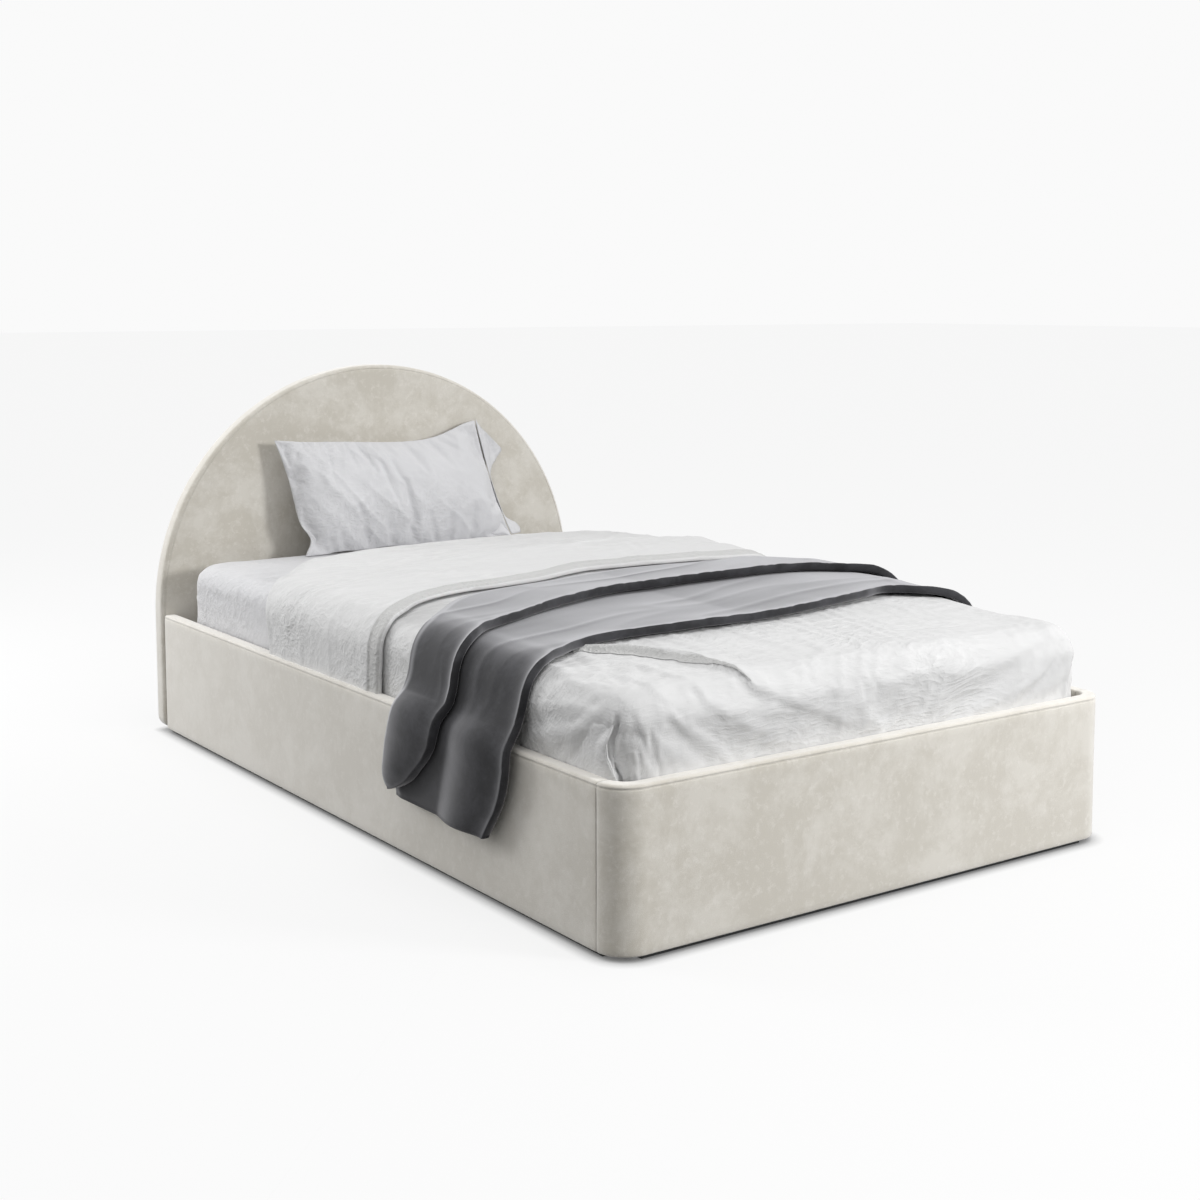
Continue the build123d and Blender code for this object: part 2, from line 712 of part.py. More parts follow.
def crowned_section(top, hem, half_width):
    """Section across the bed: upright sides, round shoulders, crowned top."""
    shoulder = half_width - duvet_side_round
    edge = top - duvet_edge_drop
    cut = duvet_side_round * diagonal_share
    with BuildLine() as line:
        Polyline((-shoulder, hem), (-half_width, hem), (-half_width, edge - duvet_side_round))
        ThreePointArc((-half_width, edge - duvet_side_round), (-half_width + cut, edge - cut),
                      (-shoulder, edge))
        ThreePointArc((-shoulder, edge), (0, top), (shoulder, edge))
        ThreePointArc((shoulder, edge), (half_width - cut, edge - cut),
                      (half_width, edge - duvet_side_round))
        Polyline((half_width, edge - duvet_side_round), (half_width, hem), (-shoulder, hem))
    make_face(line.edges())


with BuildPart() as duvet:
    with BuildSketch(Plane.XZ.offset(-duvet_head)):
        crowned_section(duvet_top, duvet_hem, duvet_half)
    extrude(amount=duvet_head - duvet_foot)
    with BuildSketch(Plane.XZ.offset(-duvet_head)):
        crowned_section(duvet_top + fold_thickness, duvet_hem, duvet_half)
    extrude(amount=duvet_head - fold_hem)
    # round the foot end and the folded head edge in side view
    with BuildSketch(Plane.YZ.offset(-duvet_half - overrun)):
        high = duvet_top + fold_thickness + overrun
        foot_cut = duvet_foot_round * diagonal_share
        foot_edge = duvet_top
        head_edge = duvet_top + fold_thickness
        with BuildLine():
            Line((duvet_foot, duvet_hem), (duvet_foot, foot_edge - duvet_foot_round))
            ThreePointArc((duvet_foot, foot_edge - duvet_foot_round),
                          (duvet_foot + foot_cut, foot_edge - foot_cut),
                          (duvet_foot + duvet_foot_round, foot_edge))
            Polyline((duvet_foot + duvet_foot_round, foot_edge), (fold_hem, foot_edge),
                     (fold_hem, head_edge), (duvet_head - fold_round, head_edge))
            ThreePointArc((duvet_head - fold_round, head_edge),
                          (duvet_head - fold_round * diagonal_share,
                           head_edge - fold_round * diagonal_share),
                          (duvet_head, head_edge - fold_round))
            Polyline((duvet_head, head_edge - fold_round), (duvet_head, duvet_hem),
                     (duvet_foot, duvet_hem))
        make_face()
    extrude(amount=2 * (duvet_half + overrun), mode=Mode.INTERSECT)
    # rounded plan corners at the foot
    with BuildSketch(Plane.XY.offset(duvet_hem)):
        with Locations((0, (duvet_foot + duvet_head + duvet_foot_round) / 2)):
            RectangleRounded(2 * duvet_half, duvet_head + duvet_foot_round - duvet_foot,
                             mattress_corner)
    extrude(amount=duvet_top + fold_thickness - duvet_hem, mode=Mode.INTERSECT)
    with BuildPart(mode=Mode.PRIVATE) as duvet_core:
        mattress_form(sheet_thickness + soft_clear, duvet_hem - overrun)
        round_top(duvet_core, sheet_thickness + soft_clear)
    add(duvet_core.part, mode=Mode.SUBTRACT)
save(duvet, "duvet", white_colour)

# throw
# A folded throw across the bed, over both rails; its two layers slip apart.
shoulder_x = duvet_half - duvet_side_round
shoulder_z = duvet_top - duvet_edge_drop
hang_base = rail_out + throw_rail_clear + throw_fold_depth / 2


def bend(side, centre, radius, start, end):
    """Arc about a centre, from one side of it to the other, by way of the diagonal."""
    reach = radius * cos(radians(45))
    points = {"out": (radius, 0), "up": (0, radius), "in": (-radius, 0), "down": (0, -radius)}
    middle = (reach if "out" in (start, end) else -reach, reach if "up" in (start, end) else -reach)
    ThreePointArc(*[(side * (centre[0] + x), centre[1] + z)
                    for x, z in (points[start], middle, points[end])])


def throw_line(side, on):
    """The throw's line at a height above what it lies on: rail edge to shoulder."""
    edge = (hang_base - throw_bend, rail_top - throw_bend)
    tuck = (duvet_half + throw_tuck, rail_top + throw_tuck)
    round_centre = (shoulder_x, shoulder_z - duvet_side_round)
    Line((side * (hang_base + on), edge[1] - throw_bend), (side * (hang_base + on), edge[1]))
    bend(side, edge, throw_bend + on, "out", "up")
    Line((side * edge[0], rail_top + on), (side * tuck[0], rail_top + on))
    bend(side, tuck, throw_tuck - on, "down", "in")
    Line((side * (duvet_half + on), tuck[1]), (side * (duvet_half + on), round_centre[1]))
    bend(side, round_centre, duvet_side_round + on, "out", "up")


def throw_layer(level, low, head, foot):
    """One layer of the throw: a band over duvet and rails with wavy hanging ends."""
    under = soft_clear + throw_thickness * level
    over = under + throw_thickness
    with BuildSketch(Plane.XZ.offset(-head)) as band:
        with BuildLine() as line:
            for on in (under, over):
                for side in (-1, 1):
                    throw_line(side, on)
                ThreePointArc((-shoulder_x, shoulder_z + on), (0, duvet_top + on),
                              (shoulder_x, shoulder_z + on))
            for side in (-1, 1):
                Line((side * (hang_base + under), rail_top - 2 * throw_bend),
                     (side * (hang_base + over), rail_top - 2 * throw_bend))
        make_face(line.edges())
    extrude(band.sketch, amount=head - foot)
    # folds of the hanging ends: arcs that bow out and in by turns
    wave = (head - foot) / throw_fold_count
    with BuildSketch(Plane.XY.offset(low)) as folds:
        for side in (-1, 1):
            with BuildLine() as line:
                for on in (under, over):
                    x = hang_base + on
                    for i in range(throw_fold_count):
                        bow = throw_fold_depth / 2 * (1 if i % 2 else -1)
                        ThreePointArc((side * x, foot + i * wave),
                                      (side * (x + bow), foot + (i + 1 / 2) * wave),
                                      (side * x, foot + (i + 1) * wave))
                for y in (head, foot):
                    Line((side * (hang_base + under), y), (side * (hang_base + over), y))
            make_face(line.edges())
    extrude(folds.sketch, amount=rail_top - throw_bend - low)


def trim(outline, plane, depth):
    """Keep only what lies inside an outline, seen along a plane's normal."""
    with BuildSketch(plane) as keep:
        with BuildLine() as line:
            Polyline(*outline, close=True)
        make_face(line.edges())
    extrude(keep.sketch, amount=depth, mode=Mode.INTERSECT)


throw_span = rail_out + overrun * 2
with BuildPart() as throw:
    throw_layer(0, throw_low, throw_head, throw_foot - throw_drift)
    trim([(throw_foot, duvet_top + overrun), (throw_foot, shoulder_z),
          (throw_foot - throw_drift, throw_low + throw_upper_round),
          (throw_foot - throw_drift / 2, throw_low),
          (throw_head - throw_drift - throw_upper_round, throw_low + throw_hem_rise / 2),
          (throw_head - throw_drift, throw_low + throw_hem_rise + throw_upper_round),
          (throw_head - throw_drift, rail_top), (throw_head, shoulder_z),
          (throw_head, duvet_top + overrun)],
         Plane.YZ.offset(-throw_span), 2 * throw_span)
    with BuildPart(mode=Mode.PRIVATE) as upper:
        throw_layer(1, throw_upper_low, throw_head, throw_upper_near - throw_drift)
        trim([(throw_upper_near - throw_drift, duvet_top + 2 * overrun),
              (throw_upper_near - throw_drift, throw_upper_low + throw_upper_round),
              (throw_upper_near - throw_drift / 2, throw_upper_low),
              (throw_head - throw_drift - throw_upper_round, throw_upper_low),
              (throw_head - throw_drift, throw_upper_low + throw_upper_round),
              (throw_head - throw_drift, rail_top), (throw_head, shoulder_z),
              (throw_head, duvet_top + 2 * overrun)],
             Plane.YZ.offset(-throw_span), 2 * throw_span)
        trim([(-throw_span, throw_upper_near - throw_drift),
              (-rail_out, throw_upper_near - throw_drift), (-shoulder_x, throw_upper_near),
              (shoulder_x / 2, throw_upper_far), (shoulder_x, throw_upper_far - throw_upper_round),
              (rail_out, throw_upper_near - throw_drift),
              (throw_span, throw_upper_near - throw_drift), (throw_span, throw_head),
              (-throw_span, throw_head)],
             Plane.XY, duvet_top + 2 * overrun)
    add(upper.part)
save(throw, "throw", grey_colour)

# pillow
lean = radians(pillow_tilt)
pillow_up = (0, sin(lean), cos(lean))
pillow_normal = (0, -cos(lean), sin(lean))
pillow_rise = pillow_height / 2 - pillow_sink
pillow_low_y = front_y - soft_clear - pillow_height * sin(lean) - pillow_thickness / 2
pillow_centre = (pillow_offset, pillow_low_y + pillow_rise * sin(lean),
                 sheet_top + soft_clear + pillow_rise * cos(lean))


def pillow_outline():
    """Pillow outline with its edges drawn in between the corners."""
    half_w, half_h = pillow_width / 2, pillow_height / 2
    with BuildLine() as line:
        for way in (-1, 1):
            ThreePointArc((-half_w, way * half_h), (0, way * (half_h - pillow_draw_in)),
                          (half_w, way * half_h))
            ThreePointArc((way * half_w, -half_h), (way * (half_w - pillow_draw_in), 0),
                          (way * half_w, half_h))
    make_face(line.edges())


def swell(length):
    """Section through the crown: thin sewn ends, full shoulders, domed middle."""
    half_length, half_seam, full = length / 2, pillow_seam / 2, pillow_thickness / 2
    (near_in, near_up), (far_in, far_up) = pillow_swell_shares
    with BuildLine() as line:
        for up in (-1, 1):
            for way in (-1, 1):
                ThreePointArc((way * half_length, up * half_seam),
                              (way * (half_length - length * near_in), up * full * near_up),
                              (way * (half_length - length * far_in), up * full * far_up))
            ThreePointArc((-half_length + length * far_in, up * full * far_up), (0, up * full),
                          (half_length - length * far_in, up * full * far_up))
        for way in (-1, 1):
            Line((way * half_length, -half_seam), (way * half_length, half_seam))
    make_face(line.edges())


with BuildPart() as pillow:
    front = Plane(origin=pillow_centre, x_dir=(1, 0, 0), z_dir=pillow_normal)
    with BuildSketch(front):
        pillow_outline()
    extrude(amount=pillow_thickness / 2, both=True)
    with BuildSketch(Plane(origin=pillow_centre, x_dir=(1, 0, 0), z_dir=pillow_up)):
        swell(pillow_width)
    extrude(amount=pillow_height / 2, both=True, mode=Mode.INTERSECT)
    with BuildSketch(Plane(origin=pillow_centre, x_dir=pillow_up, z_dir=(1, 0, 0))):
        swell(pillow_height)
    extrude(amount=pillow_width / 2, both=True, mode=Mode.INTERSECT)
    with BuildSketch(Plane.XY.offset(sheet_top + soft_clear)):
        with Locations((pillow_offset, pillow_low_y)):
            Rectangle(2 * pillow_width, 2 * pillow_width)
    extrude(amount=-pillow_height, mode=Mode.SUBTRACT)
save(pillow, "pillow", white_colour)

print("overall", frame_width, overall_length, headboard_top)
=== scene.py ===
# %% [markdown]
# # An upholstered single bed, made up for the photograph
# The real object is a bed frame covered in pale velvet, with an arched headboard,
# a slatted base on steel tubes, a mattress and its bedding. Its hard pieces come from
# the CAD frame and only get finishes here. Its soft pieces, which CAD can only hold
# as plain solids, are made in this file and stand where those solids stand.

# %% Load the frame
import itertools
import json
import math

import bpy
import numpy as np
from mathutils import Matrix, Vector


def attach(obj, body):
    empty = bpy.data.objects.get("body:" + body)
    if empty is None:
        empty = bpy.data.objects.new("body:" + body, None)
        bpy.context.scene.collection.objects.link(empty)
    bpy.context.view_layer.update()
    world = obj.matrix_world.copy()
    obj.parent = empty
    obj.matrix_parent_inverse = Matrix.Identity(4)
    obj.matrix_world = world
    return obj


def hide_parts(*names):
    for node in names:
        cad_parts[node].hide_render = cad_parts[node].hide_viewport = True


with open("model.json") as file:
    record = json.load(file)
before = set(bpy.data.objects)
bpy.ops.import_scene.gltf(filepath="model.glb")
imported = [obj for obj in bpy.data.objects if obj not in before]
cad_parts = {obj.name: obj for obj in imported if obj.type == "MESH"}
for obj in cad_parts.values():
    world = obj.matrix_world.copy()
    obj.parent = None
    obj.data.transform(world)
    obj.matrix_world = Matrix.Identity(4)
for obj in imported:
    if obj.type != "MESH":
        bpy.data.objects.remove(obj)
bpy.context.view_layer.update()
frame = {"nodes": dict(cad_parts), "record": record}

nodes = frame["nodes"]
print("CAD nodes:", len(nodes))

# %% [markdown]
# ## The camera
# The photograph is taken from in front of the foot end, to the left, at a little over
# a metre high. The place, lens and tilt below were fitted to the bed's corners, so
# the pieces can be laid over the photograph. The sideways shift is the photograph's
# own framing, and the small shift down keeps the upright edges nearly upright.

# %% Camera
camera_data = bpy.data.cameras.new("camera")
camera_data.sensor_width = 36.0
camera_data.lens = 53.462
camera_data.shift_x = -0.0333
camera_data.shift_y = -0.10
camera_data.clip_end = 200.0
camera = bpy.data.objects.new("camera", camera_data)
camera.location = (-2.3438, -3.5048, 1.1493)
turn, tilt = math.radians(35.794), math.radians(5.781)
looks = Vector((math.sin(turn) * math.cos(tilt), math.cos(turn) * math.cos(tilt), -math.sin(tilt)))
camera.rotation_mode = "QUATERNION"
camera.rotation_quaternion = looks.to_track_quat("-Z", "Y")
bpy.context.collection.objects.link(camera)
bpy.context.scene.camera = camera
print("camera stands", round(Vector(camera.location).length, 2), "m from the floor under the bed's middle")

# %% [markdown]
# ## Noise that is the same on every run
# Creases, slack and mottling need randomness that never changes. A small lattice noise
# made with numpy is quick for whole meshes and gives the same values in every run,
# which a random number generator without a seed wouldn't.


# %% Lattice noise
def soft_noise(points, seed=0):
    """Smooth noise from -1 to 1 at an array of points (..., 3)."""
    points = np.asarray(points, float)
    cell = np.floor(points).astype(np.int64)
    part = points - cell
    ease = part * part * (3 - 2 * part)
    total = np.zeros(points.shape[:-1])
    for corner in itertools.product((0, 1), repeat=3):
        at = cell + np.array(corner)
        key = (at[..., 0] * 374761393 + at[..., 1] * 668265263
               + at[..., 2] * 1442695041 + seed * 974634777) & 0xFFFFFFFF
        key = ((key ^ (key >> 13)) * 1274126177) & 0xFFFFFFFF
        value = ((key ^ (key >> 16)) & 0xFFFF) / 32767.5 - 1
        weight = np.prod(np.where(np.array(corner) == 1, ease, 1 - ease), axis=-1)
        total += value * weight
    return total


def flat_noise(a, b, seed=0):
    """Noise over two coordinates."""
    return soft_noise(np.stack(np.broadcast_arrays(a, b, 0.37), -1), seed)


def crease(a, b, angle, length, width, seed, sharp=2.0):
    """Long creases from 0 to 1 that run at an angle over coordinates a and b."""
    c, s = math.cos(math.radians(angle)), math.sin(math.radians(angle))
    along, across = a * c + b * s, -a * s + b * c
    across = across + 0.6 * width * flat_noise(a / (3 * width), b / (3 * width), seed + 7)
    line = 1 - np.abs(flat_noise(along / length, across / width, seed))
    return np.clip(line, 0, 1) ** (sharp * 2)


def blend_in(value, low, high):
    """0 below low, 1 above high, smooth between."""
    x = np.clip((value - low) / (high - low), 0, 1)
    return x * x * (3 - 2 * x)


print("noise sample:", np.round(soft_noise([[0.3, 1.7, 2.2], [5.1, 0.4, 8.8]]), 4))

# %% [markdown]
# ## Meshes from grids
# Every soft piece here is a grid of points that is folded into shape: rows run one
# way over the cloth and columns the other. A grid keeps its weave direction, takes
# displacement evenly and needs no modelling by hand. One helper turns such an array
# into an object and hands it to the frame.


# %% Grid helper
def grid_faces(rows, columns, wrap_rows=False, wrap_columns=False):
    """Quads over a grid of rows x columns points."""
    r = np.arange(rows if wrap_rows else rows - 1)
    c = np.arange(columns if wrap_columns else columns - 1)
    i, j = np.meshgrid(r, c, indexing="ij")
    k, m = (i + 1) % rows, (j + 1) % columns
    return np.stack([i * columns + j, i * columns + m, k * columns + m, k * columns + j],
                    -1).reshape(-1, 4)


def make_piece(name, points, faces, material, stands_for=()):
    """A mesh object on the frame's root body."""
    points = np.asarray(points, float).reshape(-1, 3)
    used, back = np.unique(np.asarray(faces).ravel(), return_inverse=True)
    faces = back.reshape(-1, np.shape(faces)[1])
    mesh = bpy.data.meshes.new(name)
    mesh.from_pydata(points[used].tolist(), [], faces.tolist())
    mesh.validate()
    mesh.update()
    mesh.shade_smooth()
    mesh.materials.append(material)
    piece = bpy.data.objects.new(name, mesh)
    bpy.context.collection.objects.link(piece)
    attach(piece, "root")
    if stands_for:
        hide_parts(*stands_for)
    return piece


def grid_normals(points):
    """Unit normals of a grid of points (rows, columns, 3)."""
    n = np.cross(np.gradient(points, axis=1), np.gradient(points, axis=0))
    return n / np.maximum(np.linalg.norm(n, axis=-1, keepdims=True), 1e-12)


def cloth_area(piece):
    """Area of the faces of a piece."""
    return sum(p.area for p in piece.data.polygons)


def run_along(path):
    """Length along a path at each of its points."""
    return np.concatenate([[0], np.cumsum(np.linalg.norm(np.diff(path, axis=0), axis=1))])


def faces_within(beyond, reach):
    """Faces of a draped grid that have a point nearer than the cloth's reach down the wall."""
    faces = grid_faces(*beyond.shape)
    return faces[(beyond.ravel()[faces] < reach).any(axis=1)]


def smooth_line(keys, at):
    """A smooth curve through (place, value) keys."""
    places, values = np.array(keys, float).T
    slopes = np.gradient(values, places)
    i = np.clip(np.searchsorted(places, at) - 1, 0, len(places) - 2)
    span = places[i + 1] - places[i]
    x = np.clip((at - places[i]) / span, 0, 1)
    return ((2 * x**3 - 3 * x**2 + 1) * values[i] + (x**3 - 2 * x**2 + x) * span * slopes[i]
            + (3 * x**2 - 2 * x**3) * values[i + 1] + (x**3 - x**2) * span * slopes[i + 1])


print("grid helper: 3 x 3 points give", len(grid_faces(3, 3)), "faces")

# %% [markdown]
# ## Letting cloth find its own wrinkles
# Drawn creases look drawn. Real wrinkles come from cloth that is a little larger than
# what it covers, so the duvet and the pillow go through Blender's cloth simulation: the
# duvet grows a little over a hard form and the pillow is filled by pressure, each held
# along its edges. A cap on how far a point may move keeps each in its own space.


# %% Cloth helper
def settle(piece, held, grow, frames, cap, forms=(), bending=0.3, pressure=0.0, gravity=0.0):
    """Simulates a piece as cloth and keeps the result in its mesh."""
    stiffness = 12.0
    scene = bpy.context.scene
    before = np.empty(len(piece.data.vertices) * 3)
    piece.data.vertices.foreach_get("co", before)
    group = piece.vertex_groups.new(name="held")
    for level in np.unique(np.round(held, 1)):
        if level > 0:
            group.add(np.flatnonzero(np.round(held, 1) == level).tolist(), float(level), "REPLACE")
    walls = []
    for form in forms:
        wall = form.modifiers.new("wall", "COLLISION")
        form.collision.thickness_outer = 0.002
        form.collision.cloth_friction = 8.0
        walls.append((form, wall))
    cloth = piece.modifiers.new("cloth", "CLOTH")
    cloth.settings.vertex_group_mass = "held"
    cloth.settings.quality = 5
    cloth.settings.mass = 0.25
    cloth.settings.tension_stiffness = stiffness
    cloth.settings.compression_stiffness = stiffness
    cloth.settings.shear_stiffness = stiffness * 0.4
    cloth.settings.bending_stiffness = bending
    cloth.settings.air_damping = 2.0
    cloth.settings.shrink_min = -grow
    cloth.settings.effector_weights.gravity = gravity
    if pressure:
        cloth.settings.use_pressure = True
        cloth.settings.uniform_pressure_force = pressure
    cloth.collision_settings.use_collision = bool(forms)
    cloth.collision_settings.distance_min = 0.002
    cloth.collision_settings.use_self_collision = False
    cloth.point_cache.frame_start, cloth.point_cache.frame_end = 1, frames
    for number in range(1, frames + 1):
        scene.frame_set(number)
    made = piece.evaluated_get(bpy.context.evaluated_depsgraph_get())
    after = np.empty(len(before))
    made.data.vertices.foreach_get("co", after)
    piece.modifiers.remove(cloth)
    for form, wall in walls:
        form.modifiers.remove(wall)
    piece.vertex_groups.remove(group)
    scene.frame_set(1)
    before, move = before.reshape(-1, 3), (after - before).reshape(-1, 3)
    size = np.linalg.norm(move, axis=1, keepdims=True)
    move *= np.minimum(1, cap / np.maximum(size, 1e-9))
    piece.data.vertices.foreach_set("co", (before + move).ravel())
    piece.data.update()
    print(piece.name, "settled; its points moved", round(float(size.mean()) * 1000, 1), "mm on average")
    return before + move


def refine(grid):
    """Twice as many rows and columns of a grid, on smooth curves through its points."""
    for _ in range(2):
        ends = [2 * grid[:1] - grid[1:2], grid, 2 * grid[-1:] - grid[-2:-1]]
        padded_grid = np.concatenate(ends)
        halfway = (9 * (padded_grid[1:-2] + padded_grid[2:-1])
                   - (padded_grid[:-3] + padded_grid[3:])) / 16
        out = np.empty((2 * len(grid) - 1, *grid.shape[1:]))
        out[0::2], out[1::2] = grid, halfway
        grid = np.swapaxes(out, 0, 1)
    return grid


print("cloth helper ready; simulation is", "on")

# %% [markdown]
# ## Effects that several materials share
# Each is a shader node group built once: a weave of crossing threads, small cloth
# creases, a cloudy nap and wood grain. They give out only masks and heights that vary
# over the surface. The shaders, and every value that is the same all over, stay
# in the materials.


# %% Shader node groups
class Builder:
    """Adds nodes to a tree and links them, to keep the groups readable."""

    def __init__(self, tree):
        self.tree = tree

    def node(self, kind, inputs=(), **settings):
        made = self.tree.nodes.new(kind)
        for key, value in settings.items():
            setattr(made, key, value)
        for key, value in dict(inputs).items():
            if isinstance(value, bpy.types.NodeSocket):
                self.tree.links.new(value, made.inputs[key])
            else:
                made.inputs[key].default_value = value
        return made

    def math(self, operation, a, b=0.0, clamp=False):
        return self.node("ShaderNodeMath", {0: a, 1: b}, operation=operation,
                         use_clamp=clamp).outputs[0]

    def scaled(self, vector, by):
        return self.node("ShaderNodeVectorMath", {0: vector, 1: by},
                         operation="MULTIPLY").outputs[0]

    def noise(self, vector, scale, detail=2.0, roughness=0.5, distortion=0.0):
        return self.node("ShaderNodeTexNoise",
                         {"Vector": vector, "Scale": scale, "Detail": detail,
                          "Roughness": roughness, "Distortion": distortion}).outputs["Fac"]


def new_group(name, inputs, outputs):
    """An empty shader group with float sockets."""
    group = bpy.data.node_groups.new(name, "ShaderNodeTree")
    for label, value in inputs:
        socket = group.interface.new_socket(label, in_out="INPUT", socket_type="NodeSocketFloat")
        socket.default_value = value
    for label in outputs:
        group.interface.new_socket(label, in_out="OUTPUT", socket_type="NodeSocketFloat")
    build = Builder(group)
    start = build.node("NodeGroupInput")
    end = build.node("NodeGroupOutput")
    place = build.node("ShaderNodeTexCoord").outputs["Object"]
    return group, build, start.outputs, end.inputs, place


weave, b, given, out, place = new_group("Weave", [("Threads per metre", 700.0)], ["Height"])
threads = []
for axis in range(3):
    turn_axis = [0.0, 0.0, 0.0]
    turn_axis[axis] = 1.0
    along = b.node("ShaderNodeVectorMath", {0: place, 1: turn_axis},
                   operation="DOT_PRODUCT").outputs["Value"]
    slub = b.math("MULTIPLY", b.noise(place, 90.0), 0.006)
    phase = b.math("MULTIPLY", b.math("ADD", along, slub), given["Threads per metre"])
    threads.append(b.math("SINE", b.math("MULTIPLY", phase, 6.2832)))
mixed = b.math("ADD", b.math("ADD", threads[0], threads[1]), threads[2])
b.tree.links.new(b.math("MULTIPLY_ADD", mixed, 0.17), out["Height"])

small_creases, b, given, out, place = new_group(
    "Small creases", [("Scale", 30.0), ("Across X", 0.35)], ["Height", "Crease shade"])
stretched = b.node("ShaderNodeCombineXYZ", {"X": given["Across X"], "Y": 1.0, "Z": 1.0}).outputs[0]
sway = b.node("ShaderNodeTexNoise", {"Vector": place, "Scale": 3.5, "Detail": 1.0}).outputs["Color"]
wandering = b.node("ShaderNodeVectorMath", {0: place, 1: b.scaled(sway, (0.16, 0.16, 0.16))},
                   operation="ADD").outputs[0]
crinkle = b.node("ShaderNodeTexNoise",
                 {"Vector": b.scaled(wandering, stretched), "Scale": given["Scale"], "Detail": 3.0,
                  "Roughness": 0.5, "Offset": 0.9, "Gain": 1.6},
                 noise_type="RIDGED_MULTIFRACTAL", normalize=True).outputs["Fac"]
soft_part = b.noise(b.scaled(wandering, stretched), b.math("MULTIPLY", given["Scale"], 0.45), detail=2.0)
where = b.math("MULTIPLY", b.math("SUBTRACT", b.noise(place, 3.0, detail=1.0), 0.30, clamp=True), 2.2,
               clamp=True)
b.tree.links.new(b.math("ADD", b.math("MULTIPLY", crinkle, where), b.math("MULTIPLY", soft_part, 1.2)),
                 out["Height"])
# Painted shade: this colour mask is high on the crinkles' ridges and low between them, so cloth is painted
# paler on its creases and darker in their hollows.
b.tree.links.new(b.math("MULTIPLY", b.math("SUBTRACT", crinkle, 0.45, clamp=True), where), out["Crease shade"])

nap, b, given, out, place = new_group(
    "Nap clouds", [("Scale", 7.0), ("Specks", 60.0)], ["Clouds", "Specks", "Height"])
clouds = b.noise(place, given["Scale"], detail=8.0, roughness=0.74, distortion=0.25)
specks = b.noise(place, given["Specks"], detail=4.0, roughness=0.75)
pile = b.noise(place, 900.0, detail=2.0)
b.tree.links.new(b.math("MULTIPLY", b.math("SUBTRACT", clouds, 0.44, clamp=True), 6.5, clamp=True),
                 out["Clouds"])
b.tree.links.new(b.math("MULTIPLY", b.math("SUBTRACT", specks, 0.53, clamp=True), 7.0, clamp=True),
                 out["Specks"])
b.tree.links.new(b.math("ADD", pile, b.math("MULTIPLY", clouds, 0.6)), out["Height"])

grain, b, given, out, place = new_group(
    "Wood grain", [("Along Y", 1.0), ("Scale", 30.0)], ["Grain", "Height"])
run_x = b.math("SUBTRACT", 1.0, given["Along Y"])
squeeze = b.node("ShaderNodeCombineXYZ",
                 {"X": b.math("SUBTRACT", 1.0, b.math("MULTIPLY", run_x, 0.94)),
                  "Y": b.math("SUBTRACT", 1.0, b.math("MULTIPLY", given["Along Y"], 0.94)),
                  "Z": 1.0}).outputs[0]
lines = b.noise(b.scaled(place, squeeze), given["Scale"], detail=6.0, roughness=0.62, distortion=0.6)
b.tree.links.new(b.math("MULTIPLY", b.math("SUBTRACT", lines, 0.3, clamp=True), 2.4, clamp=True),
                 out["Grain"])
b.tree.links.new(lines, out["Height"])
print("node groups:", [g.name for g in bpy.data.node_groups])

# %% [markdown]
# ## A material helper
# Every finish here is a Principled shader whose colour runs between two tones by a
# mask, with a bump from the same groups. Tones are written as 0-255 screen values.
# Each finish has the name of its slot, and is kept under it for the CAD pieces.


# %% Material helper
finishes = {}


def from_screen(*values):
    """A colour of 0-255 screen values as the linear one that a shader takes."""
    return tuple(((v / 255 + 0.055) / 1.055) ** 2.4 if v > 10 else v / 255 / 12.92 for v in values)


def finish_of(name, tones, roughness, bump, mask, sheen=(0.0, 0.5), specular=0.5, metallic=0.0):
    """tones are the dark and light colour, bump a list of (group, output, inputs, height)."""
    material = bpy.data.materials.new(name)
    material.use_nodes = True
    material.node_tree.nodes.clear()
    b = Builder(material.node_tree)
    groups = {}

    def output_of(group, label, values):
        key = (group.name, *values.items())
        if key not in groups:
            groups[key] = b.node("ShaderNodeGroup", values, node_tree=group)
        return groups[key].outputs[label]

    dark, light = [(*from_screen(*tone), 1) for tone in tones]
    mix = b.node("ShaderNodeMix", {0: output_of(*mask), 6: dark, 7: light}, data_type="RGBA")
    slope = {}
    for group, label, values, height in bump:
        made = b.node("ShaderNodeBump", {"Strength": 1.0, "Distance": height,
                                         "Height": output_of(group, label, values), **slope})
        slope = {"Normal": made.outputs[0]}
    shader = b.node("ShaderNodeBsdfPrincipled", {
        "Base Color": mix.outputs[2], "Roughness": roughness, "Metallic": metallic,
        "Sheen Weight": sheen[0], "Sheen Roughness": sheen[1], "Specular IOR Level": specular, **slope})
    b.node("ShaderNodeOutputMaterial", {"Surface": shader.outputs[0]})
    finishes[name] = material
    return material


def one_group_finish(name, tones, roughness, group, values, height, labels=("Specks", "Specks"), **more):
    """A finish whose bump and mask are two outputs of one group with the same inputs."""
    return finish_of(name, tones, roughness, [(group, labels[0], values, height)],
                     (group, labels[1], values), **more)


def lay_over(material, factor, tone):
    """Mixes a tone over a material's colour by a factor."""
    shader = next(n for n in material.node_tree.nodes if n.type == "BSDF_PRINCIPLED")
    colour = shader.inputs["Base Color"]
    layers = {0: factor, 6: colour.links[0].from_socket, 7: (*from_screen(*tone), 1)}
    mix = Builder(material.node_tree).node("ShaderNodeMix", layers, data_type="RGBA")
    material.node_tree.links.new(mix.outputs[2], colour)


def paint_sheen_by_angle(material, tone, most, power):
    """Painted sheen: a paler tone mixed into the colour by viewing angle, as pile looks paler along its
    surface than straight down into it.
    """
    b = Builder(material.node_tree)
    facing = b.node("ShaderNodeLayerWeight", {"Blend": 0.5}).outputs["Facing"]
    lay_over(material, b.math("MINIMUM", b.math("POWER", facing, power), most), tone)


